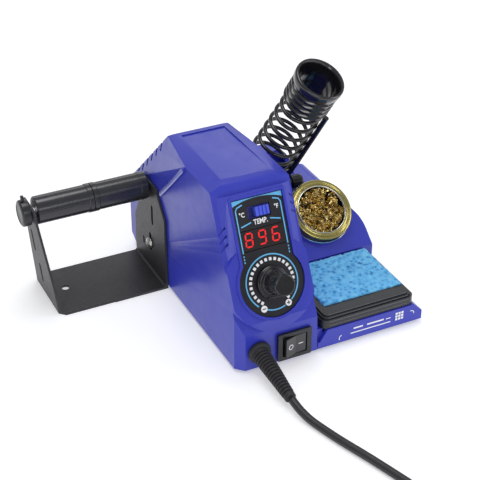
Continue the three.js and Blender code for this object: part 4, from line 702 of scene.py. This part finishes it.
# Knob: flared skirt with a rolled edge, fluted waist and a plain cap with a pointer line
foot = FACE + 0.6
KNOB = [(0, foot), (9.3, foot), (9.7, foot + 0.4), (9.7, foot + 1.5), (9.1, foot + 2.0), (9.1, foot + 2.3),
        (8.7, foot + 2.9),
        (8.2, foot + 3.0), (8.2, foot + 3.3), (7.6, foot + 4.4), (7.2, foot + 4.5), (7.0, foot + 5.2), (6.7,
            foot + 6.2),
        (6.4, foot + 15.9), (6.0, foot + 16.7), (5.3, foot + 17.0), (0, foot + 16.9)]
verts, faces = ring_mesh(rounded(KNOB, 0.22), 144)
fluted = []
for x, y, z in verts:
    r = math.hypot(x, y)
    if foot + 5.6 < z < foot + 15.9 and r > 5.5:
        k = 1 - 0.03 * (0.5 + 0.5 * math.cos(24 * math.atan2(y, x)))
        x, y = x * k, y * k
    fluted.append((x, y, z))
make("knob_skin", fluted, faces, M["knob"], "temperature_dial", DIAL, nodes=("temperature_knob",), smooth=36)
slab("knob_pointer", [(-0.22, 3.4), (0.22, 3.4), (0.22, 5.6), (-0.22, 5.6)], foot + 16.9, foot + 17.0,
     M["gloss"],
     "temperature_dial", DIAL, slot="knob_black")

# Rocker marks lie on its two flanks
ROCKER_TILT = math.radians(11)
rocker_turn = Matrix.Translation((-26, -81, 10.2)) @ Matrix.Rotation(ROCKER_TILT, 4, "Z")
for name, x, side in (("rocker_on", 3.6, 1), ("rocker_off", -3.6, -1)):
    slope = math.atan2(0.8, 7.2) * side
    plane = rocker_turn @ at((x, -1.62, 0), (math.cos(slope), -math.sin(slope), 0), (-math.sin(slope),
                             -math.cos(slope), 0))
    if side > 0:
        slab(name, [(-1.5, -0.26), (1.5, -0.26), (1.5, 0.26), (-1.5, 0.26)], 0, 0.06, M["white"], "rocker",
             plane,
             slot="gloss_black")
    else:
        slab(name, circle(1.75, 28), 0, 0.06, M["white"], "rocker", plane, hole=circle(1.25, 28),
             slot="gloss_black")

# ------------------------------------------------------------------ feet, base screws
for place, (x, y) in {"front_left": (-48.5, -67), "front_right": (48.5, -67), "rear_left": (-43.5, 55),
                      "rear_right": (48.5, 55)}.items():
    m = at((x, y, -2), X, Z)
    turned(f"foot_{place}_skin", m, [(0, 0.25), (3.6, 0.25), (4.1, 0), (5.4, 0), (6, 2.25), (0, 2.25)],
           M["rubber"],
           "station", 48, 0.2, nodes=(f"foot_{place}",))
for place in ("front_left", "rear_left", "front_right", "rear_right"):
    lo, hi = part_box(f"base_screw_{place}")
    x, y = (lo[0] + hi[0]) / 2 / MM, (lo[1] + hi[1]) / 2 / MM
    m = at((x, y, 0), X, Z)
    head = ring_mesh(rounded([(0, -1.15), (1.1, -1.15), (1.1, -1.55), (2.6, -1.55), (3, -1.2), (3, 0.0),
                              (1.5, 0.0), (1.5, 5.7), (0, 5.7)], 0.15), 40)
    joined(f"base_screw_{place}_skin", [head], M["steel"], "station", m, nodes=(f"base_screw_{place}",))

# ------------------------------------------------------------------ base front: two plain printed rules
front = at((0, -80.0, 5.6), X, (0, -1, 0))
rules = []
for x0, x1, y0, y1 in ((14, 20.4, 1.5, 2.5), (23.2, 34.6, 1.5, 2.5), (36.2, 39.4, 1.5, 2.1), (12.2, 39.4,
                       -1.4, -0.7)):
    rules.append(slab_chunk([(x0, y0), (x1, y0), (x1, y1), (x0, y1)], 0.0, 0.05))
for i in range(3):
    for j in range(3):
        x, y = 42.8 + 2.0 * i, -1.5 + 2.0 * j
        rules.append(slab_chunk([(x, y), (x + 1.5, y), (x + 1.5, y + 1.5), (x, y + 1.5)], 0.0, 0.05))
rules.append(band_chunk(arc(53.8, 0.4, 1.9, -10, 110, 14), 0.5, 0.0, 0.05))
rules.append(band_chunk(arc(6.4, -2.4, 1.9, 100, 215, 14), 0.5, 0.0, 0.05))
joined("front_rules", rules, M["white"], "station", front, slot="blue_plastic")

# ------------------------------------------------------------------ sponge
lo, hi = (Vector(c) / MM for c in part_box("sponge"))
NX, NY, ROWS = 104, 86, 9
grid = {}
verts, faces = [], []


def edge_wobble(t, seed):
    return 0.55 * noise.noise(Vector((t * 0.42, seed, 0))) + 0.5 * noise.noise(Vector((t * 1.3, seed, 4)))


def sponge_point(i, j):
    u, v = i / NX, j / NY
    x, y = lo.x + (hi.x - lo.x) * u, lo.y + (hi.y - lo.y) * v
    x += edge_wobble(y, 1.3 if u < 0.5 else 8.1) * (1 - min(u, 1 - u) * 2) ** 3
    y += edge_wobble(x, 5.7 if v < 0.5 else 3.2) * (1 - min(v, 1 - v) * 2) ** 3
    return x, y


def add_point(key, co):
    grid[key] = len(verts)
    verts.append(co)


def pore(x, y, z):
    big = noise.voronoi(Vector((x / 3.6, y / 3.6, z / 3.6)))[0][0]
    mid = noise.voronoi(Vector((x / 1.5 + 9, y / 1.5, z / 1.5)))[0][0]
    fine = noise.noise(Vector((x * 1.9, y * 1.9, z * 1.9)))
    slow = noise.noise(Vector((x / 11, y / 11, 3.1)))
    return -3.1 * max(0.0, 0.4 - big) - 1.1 * max(0.0, 0.36 - mid) + 0.2 * fine + 0.4 * slow


for i in range(NX + 1):
    for j in range(NY + 1):
        x, y = sponge_point(i, j)
        edge = min(i, NX - i, j, NY - j)
        z = hi.z - 0.15 + pore(x, y, 0) - (0.5 if edge == 0 else 0.15 if edge == 1 else 0)
        add_point((i, j, 0), (x, y, min(z, hi.z + 0.35)))
        add_point((i, j, ROWS), (x, y, lo.z)) if edge == 0 else None
for i in range(NX):
    for j in range(NY):
        faces.append((grid[i, j, 0], grid[i + 1, j, 0], grid[i + 1, j + 1, 0], grid[i, j + 1, 0]))
rim = [(i, 0) for i in range(NX)] + [(NX, j) for j in range(NY)] + [(i, NY) for i in range(NX, 0, -1)] \
    + [(0, j) for j in range(NY, 0, -1)]
centre = Vector(((lo.x + hi.x) / 2, (lo.y + hi.y) / 2, 0))
for i, j in rim:
    x, y, ztop = verts[grid[i, j, 0]]
    for row in range(1, ROWS):
        z = ztop + (lo.z - ztop) * row / ROWS
        away = Vector((x - centre.x, y - centre.y, 0)).normalized()
        p = Vector((x, y, z)) + away * min(0.1, 0.5 * pore(x * 1.2, z * 1.2, y))
        add_point((i, j, row), tuple(p))
for (i0, j0), (i1, j1) in zip(rim, rim[1:] + rim[:1]):
    for row in range(ROWS):
        faces.append((grid[i0, j0, row], grid[i0, j0, row + 1], grid[i1, j1, row + 1], grid[i1, j1, row]))
faces.append(tuple(grid[i, j, ROWS] for i, j in rim))
sponge = make("sponge_cells", verts, faces, M["sponge"], "sponge_pad", nodes=("sponge",), smooth=180)

# Fine raised beads on the tray's steps, along its front and its outer side, in a lighter grey: painted
# highlights on the edges of the black tray's steps
BEAD, BEAD_CLEAR = 0.35, 4.4     # radius, and how far a bead stops short of a corner
lo_t, hi_t = (Vector(c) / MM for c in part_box("sponge_tray"))
beads = []
for inset, drop in [(0.12, 3.4), (0.12, 6.0), (1.42, 1.6), (2.72, 0.35)]:
    y, z = lo_t.y + inset, hi_t.z - drop
    path = [Vector((lo_t.x + BEAD_CLEAR, y, z)), Vector((hi_t.x - BEAD_CLEAR, y, z))]
    beads.append(swept(path, circle(BEAD, 10)))
    if inset < 2:                # the well takes the top step away on the outer side
        x = hi_t.x - inset
        path = [Vector((x, lo_t.y + BEAD_CLEAR, z)), Vector((x, hi_t.y - BEAD_CLEAR, z))]
        beads.append(swept(path, circle(BEAD, 10)))
joined("tray_highlight_beads", beads, M["tray_painted_highlight"], "tray", slot="gloss_black")

# ------------------------------------------------------------------ tin, lid and wool
turned("tin_cup_skin", TIN, [(0, -26), (17.6, -26), (18.6, -25), (18.6, -16.2), (18.9, -15.9), (18.6, -15.6),
       (18.6, -4.8),
                             (20.4, -4.7), (20.6, -4.0), (20.4, -3.5), (18.7, -3.5), (18.6, -0.4), (17.7,
                                 -0.4), (17.7, -25), (0, -25)],
       M["tin"], "tin", 96, 0.2, nodes=("tin_cup",))
turned("tin_bead", TIN, [(18.62, -4.72), (20.3, -4.72), (20.66, -4.4), (20.66, -3.8), (20.3, -3.44), (18.62,
       -3.44)],
       M["silver"], "tin", 96, 0.2, closed=True, slot="tin_dark")
LID = [(16.0, 0.1), (19.0, 0.1), (19.0, -2.2), (20.2, -2.2), (20.34, -1.7), (20.1, -1.2), (20.2, 0.3), (19.9,
       0.95),
       (19.3, 1.3), (18.6, 1.32), (18.0, 1.0), (17.75, 0.72), (17.2, 0.7), (16.7, 0.95), (16.35, 1.2), (16.0,
           1.1)]
turned("tin_lid_skin", TIN, LID, M["gold"], "lid", 128, 0, closed=True, nodes=("tin_lid",), smooth=50)
turned("tin_opening_ring", TIN, [(15.3, 0.1), (16.02, 0.1), (16.02, 1.3), (15.85, 1.52), (15.55, 1.52),
       (15.3, 1.25)],
       M["silver"], "lid", 128, 0, closed=True, slot="screw_bright", smooth=50)
# A dark solid filling the tin under the curls: painted shade deep in the wool.
turned("wool_core", TIN, [(0, -24.6), (16.6, -24.6), (16.8, -5.0), (14, -3.6), (0, -3.0)], M["wool_painted_shade"],
       "tin", 48, 0,
       slot="wool_brass")
curls = []
CURLS = 250
for k in range(CURLS):
    r = 14.6 * math.sqrt((k + 0.5) / CURLS)
    a = k * 2.399963 + rng.uniform(-0.3, 0.3)
    centre = Vector((r * math.cos(a), r * math.sin(a), rng.uniform(-3.3, -0.6)))
    axis = Vector((rng.uniform(-1, 1), rng.uniform(-1, 1), rng.uniform(-0.35, 0.35))).normalized()
    side = axis.cross(Z).normalized()
    up = axis.cross(side)
    radius = rng.uniform(0.9, 2.0)
    turns, pitch, width = rng.uniform(1.2, 2.8), rng.uniform(0.8, 1.5), rng.uniform(0.4, 0.7)
    n = int(turns * 12)
    start = rng.uniform(0, 6.28)
    pts = []
    for i in range(n + 1):
        w = start + 2 * math.pi * turns * i / n
        rr = radius * (1 + 0.12 * math.sin(3 * w))
        p = centre + side * (rr * math.cos(w)) + up * (rr * math.sin(w)) + axis * (pitch * turns * (i / n - 0.5))
        flat = math.hypot(p.x, p.y)
        if flat > 15.1:
            p.x, p.y = p.x * 15.1 / flat, p.y * 15.1 / flat
        p.z = min(p.z, 0.75)
        pts.append(p)
    curls.append(swept(pts, [(-0.05, -width / 2), (0.05, -width / 2), (0.05, width / 2), (-0.05, width / 2)],
                 True, axis))
joined("brass_curls", curls, M["wool"], "tin", TIN, nodes=("brass_wool",), smooth=60)

# ------------------------------------------------------------------ holder
SPRING_R, WIRE, TURNS, COLLAR_AT, LENGTH = 12.6, 1.05, 7, 59.0, 82.0
spring_len = COLLAR_AT - WIRE - 0.3
pts = []
for i in range(TURNS * 48 + 1):
    t = i / (TURNS * 48)
    a = 2 * math.pi * TURNS * t
    r = SPRING_R + 1.0 * (1 - t)
    pts.append(HOLDER @ Vector((r * math.cos(a), r * math.sin(a), spring_len * t)))
verts, faces = swept(pts, circle(WIRE + 0.17, 14), True, HOLDER_AXIS)
make("holder_spring_wire", verts, faces, M["wire"], "holder", nodes=("holder_spring",), smooth=60)
side = Vector((0.615, -0.632, -0.474)).normalized()
OFF = SPRING_R + WIRE + 1.7 + 0.3
spine = [PIVOT_AT + Vector((0, -2.4, 2.6)), HOLDER_FOOT + HOLDER_AXIS * -6 + side * (OFF - 0.6),
         HOLDER_FOOT + HOLDER_AXIS * 4 + side * OFF, HOLDER_FOOT + HOLDER_AXIS * 58.4 + side * OFF]
verts, faces = swept(spline(spine, 1.0), circle(1.7, 20))
eye = ring_mesh([(1.8, -2.9), (3.6, -2.9), (4, -2.5), (4, 2.5), (3.6, 2.9), (1.8, 2.9)], 48, True)
eye = ([tuple(PIVOT @ Vector(p)) for p in eye[0]], eye[1])
joined("holder_arm_wire", [(verts, faces), eye], M["wire"], "holder", nodes=("holder_arm",), smooth=45)
R = 15.6
prof = [(R - 3.9, COLLAR_AT), (R - 2.2, COLLAR_AT)]
for k in range(4):
    z = COLLAR_AT + 0.7 + k * 3.9
    prof += [(R - 2.2, z), (R - 1.3, z + 0.6), (R - 0.7, z + 1.2), (R - 0.7, z + 1.9), (R - 1.3, z + 2.5),
             (R - 2.2, z + 3.1)]
prof += [(R - 2.2, LENGTH - 6.2), (R - 0.6, LENGTH - 5.7), (R - 0.15, LENGTH - 5.1), (R, LENGTH - 1.2),
         (R - 0.3, LENGTH - 0.4), (R - 0.9, LENGTH), (R - 1.8, LENGTH - 0.05), (R - 2.5,
             LENGTH - 0.9), (R - 3.0, LENGTH - 3.0),
         (R - 3.4, LENGTH - 6.0), (R - 3.7, LENGTH - 11), (R - 3.9, LENGTH - 17)]
turned("holder_collar_skin", HOLDER, prof, M["gloss"], "holder", 96, 0, closed=True,
       nodes=("holder_collar",), smooth=42)
# Clamp knob on the pivot, with a knurled rim, and the pin
verts, faces = ring_mesh(rounded([(1.8, 6.5), (2.6, 6.5), (2.6, 9.8), (3.9, 9.8), (4.3, 10.4), (4.3, 16.2),
                         (3.7, 17.4),
                                  (1.2, 17.8), (0, 17.8)], 0.2), 72)
knurled = [(x * k, y * k, z) for x, y, z in verts
           for k in [1 + (0.03 * math.cos(18 * math.atan2(y, x)) if math.hypot(x, y) > 3.8 else 0)]]
make("clamp_knob_skin", knurled, faces, M["knob"], "clamp", PIVOT, nodes=("holder_clamp_knob",), smooth=40)
turned("pivot_pin_skin", PIVOT, [(0, -8.1), (2.2, -8.1), (3, -7.4), (3, -6.5), (1.5, -6.5), (1.5, 13.8), (0,
       13.8)],
       M["steel"], "station", 40, 0.15, nodes=("holder_pivot_pin",))

# ------------------------------------------------------------------ solder-reel roller
RX0, RX1 = -135.2, -64.1
MID = -99.65
HALF_OUT = [(2.8, RX0), (8.0, RX0), (8.6, RX0 + 0.5), (8.6, MID - 3.3), (9.0, MID - 2.9), (9.0, MID - 0.4),
            (8.8, MID - 0.15), (2.8, MID - 0.15)]
HALF_IN = [(2.8, MID + 0.15), (8.8, MID + 0.15), (9.0, MID + 0.4), (9.0, MID + 2.9), (8.6, MID + 3.3),
           (8.6, RX1 - 5.2), (8.85, RX1 - 5.0), (8.85, RX1 - 3.4), (8.6, RX1 - 3.2), (8.6, RX1 - 0.6), (8.0,
               RX1), (2.8, RX1)]
turned("roller_outer_skin", ROLLER, HALF_OUT, M["roller"], "roller_outer", 96, 0, closed=True,
       nodes=("reel_roller_outer",))
turned("roller_inner_skin", ROLLER, HALF_IN, M["roller"], "roller_inner", 96, 0, closed=True,
       nodes=("reel_roller_inner",))
lo, hi = (Vector(c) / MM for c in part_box("reel_axle_cap"))
CAP = [(2.8, hi.x), (7.7, hi.x), (8.2, hi.x - 0.5), (8.2, hi.x - 4.6), (7.9, hi.x - 5.1), (7.2, lo.x + 0.3),
       (6.0, lo.x), (5.6, lo.x + 0.35), (0, lo.x + 0.35), (0, hi.x - 3.9), (2.8, hi.x - 3.9)]
verts, faces = ring_mesh(rounded(CAP, 0.2), 96)
make("axle_cap_skin", verts, faces, M["black"], "station", ROLLER, nodes=("reel_axle_cap",), smooth=40)
# Pan-head screw with a cross recess
m = at((-63.6, 42.6, 19.2), Y, (-1, 0, 0))
verts, faces = ring_mesh([(0, 1.3), (0.8, 1.35), (1.5, 2.22), (2.3, 1.98), (3.0, 1.5), (3.5, 0.8), (3.6,
                         0.15),
                          (3.5, 0), (1.3, 0), (1.3, -5.9), (0, -5.9)], 72)
crossed = []
for x, y, z in verts:
    if 0 < z and math.hypot(x, y) < 2.1:
        arm = min(abs(x), abs(y))
        z = 1.25 if arm < 0.42 else 2.3 - 0.09 * math.hypot(x, y) ** 2
    crossed.append((x, y, z))
make("bracket_screw_skin", crossed, faces, M["bright"], "station", m, nodes=("reel_bracket_screw",),
     smooth=35)

# ------------------------------------------------------------------ strain relief
root = Vector((-48.4, -80.3, 11.5))
end = Vector((-47.5, -118, 4.6))
line = (end - root).normalized()
total = (end - root).length
relief = at(root, X, line)
prof = [(0, 1.0), (5.2, 1.0), (5.6, 2.4)]
RIBS = 15
for k in range(RIBS):
    z = 3.2 + k * (total - 6.2) / RIBS
    step = (total - 6.2) / RIBS
    r = 5.5 - 1.9 * k / RIBS
    prof += [(r, z), (r, z + step * 0.52), (r - 1.0, z + step * 0.6), (r - 1.0, z + step * 0.92)]
prof += [(3.45, total - 2.9), (3.35, total - 0.5), (3.0, total), (0, total)]
cone = ring_mesh(rounded(prof, 0.15, 2), 48)
cone = ([tuple(relief @ Vector(p)) for p in cone[0]], cone[1])
wall = at((-48.4, -80, 11.5), X, (0, -1, 0))
gland = ring_mesh(rounded([(0, 0.3), (6.7, 0.3), (6.9, 0.7), (6.9, 2.2), (6.4, 3.2), (5.6, 3.7), (0, 3.8)],
                  0.2), 64)
gland = ([tuple(wall @ Vector(p)) for p in gland[0]], gland[1])
neck = ring_mesh([(0, -6), (4.6, -6), (4.6, 0.5), (0, 0.5)], 40)
neck = ([tuple(wall @ Vector(p)) for p in neck[0]], neck[1])
joined("strain_relief_skin", [cone, gland, neck], M["rubber"], "station", nodes=("cord_strain_relief",),
       smooth=38)

# ------------------------------------------------------------------ the iron
boot = [(0, -47), (3.1, -47), (3.5, -46.4)]
for k in range(9):
    z = -45 + k * 2.5
    r = 3.7 + 0.19 * k
    boot += [(r, z), (r, z + 1.4), (r - 0.55, z + 1.55), (r - 0.55, z + 2.35)]
boot += [(5.3, -22), (6.4, -21), (6.4, -17), (0, -17)]
HEAD = [
    ("iron_boot", boot, "rubber", 0.15),
    ("iron_handle", [(0, -16.7), (6.2, -16.7), (6.8, -16.2), (8.2, -13.9), (9.2, -11.7), (9.9, -2), (10.2,
     13.3), (10.0, 25),
                     (9.5, 39), (9.1, 41), (9.0, 44.6), (8.6, 45), (0, 45)], "black", 0.4),
    ("iron_nut", [(0, 79.6), (7.2, 79.6), (7.6, 80), (7.6, 82), (7.1, 82.3), (7.1, 83.2), (7.6, 83.5), (7.6,
     88.4),
                  (5.6, 93.4), (3.9, 93.6), (3.7, 93.3), (3.7, 83.8), (0, 83.8)], "steel", 0.15),
    ("iron_barrel", [(2.9, 84.2), (3.4, 84.2), (3.4, 117.8), (2.9, 118)], "steel", 0),
    ("iron_tip", [(0, 113.1), (2.5, 113.1), (2.5, 118.4), (3.2, 118.4), (3.2, 121.1), (2.6, 123.4), (2.2,
     126.1),
                  (1.2, 131), (0.5, 136), (0, 136.1)], "tip", 0.1),
]
for node, prof, mat, soft in HEAD:
    turned(node + "_skin", IRON, prof, M[mat], "station", 72, soft, closed=(node == "iron_barrel"),
           nodes=(node,), smooth=38)
grip = [(0, 45.3), (9.2, 45.3), (9.8, 46), (10.4, 48.3), (9.9, 53), (9.8, 57.3), (9.9, 63), (10.2, 69.3),
        (11.4, 73.2),
        (12.7, 76), (12.9, 77), (12.9, 78.7), (12.3, 79.2), (0, 79.3)]
fine = []
for (r0, z0), (r1, z1) in zip(grip, grip[1:]):
    n = max(1, int(abs(z1 - z0) / 0.5))
    fine += [(r0 + (r1 - r0) * i / n, z0 + (z1 - z0) * i / n) for i in range(n)]
fine.append(grip[-1])
verts, faces = ring_mesh(fine, 108)
ribbed = []
for x, y, z in verts:
    r = math.hypot(x, y)
    if r > 8 and 49 < z < 71:
        a = math.atan2(y, x)
        k = 1 - 0.035 * max(0.0, math.cos(9 * a)) ** 4
        x, y = x * k, y * k
    ribbed.append((x, y, z))
make("iron_grip_skin", ribbed, faces, M["grip"], "station", IRON, nodes=("iron_grip",), smooth=50)

bpy.context.view_layer.update()
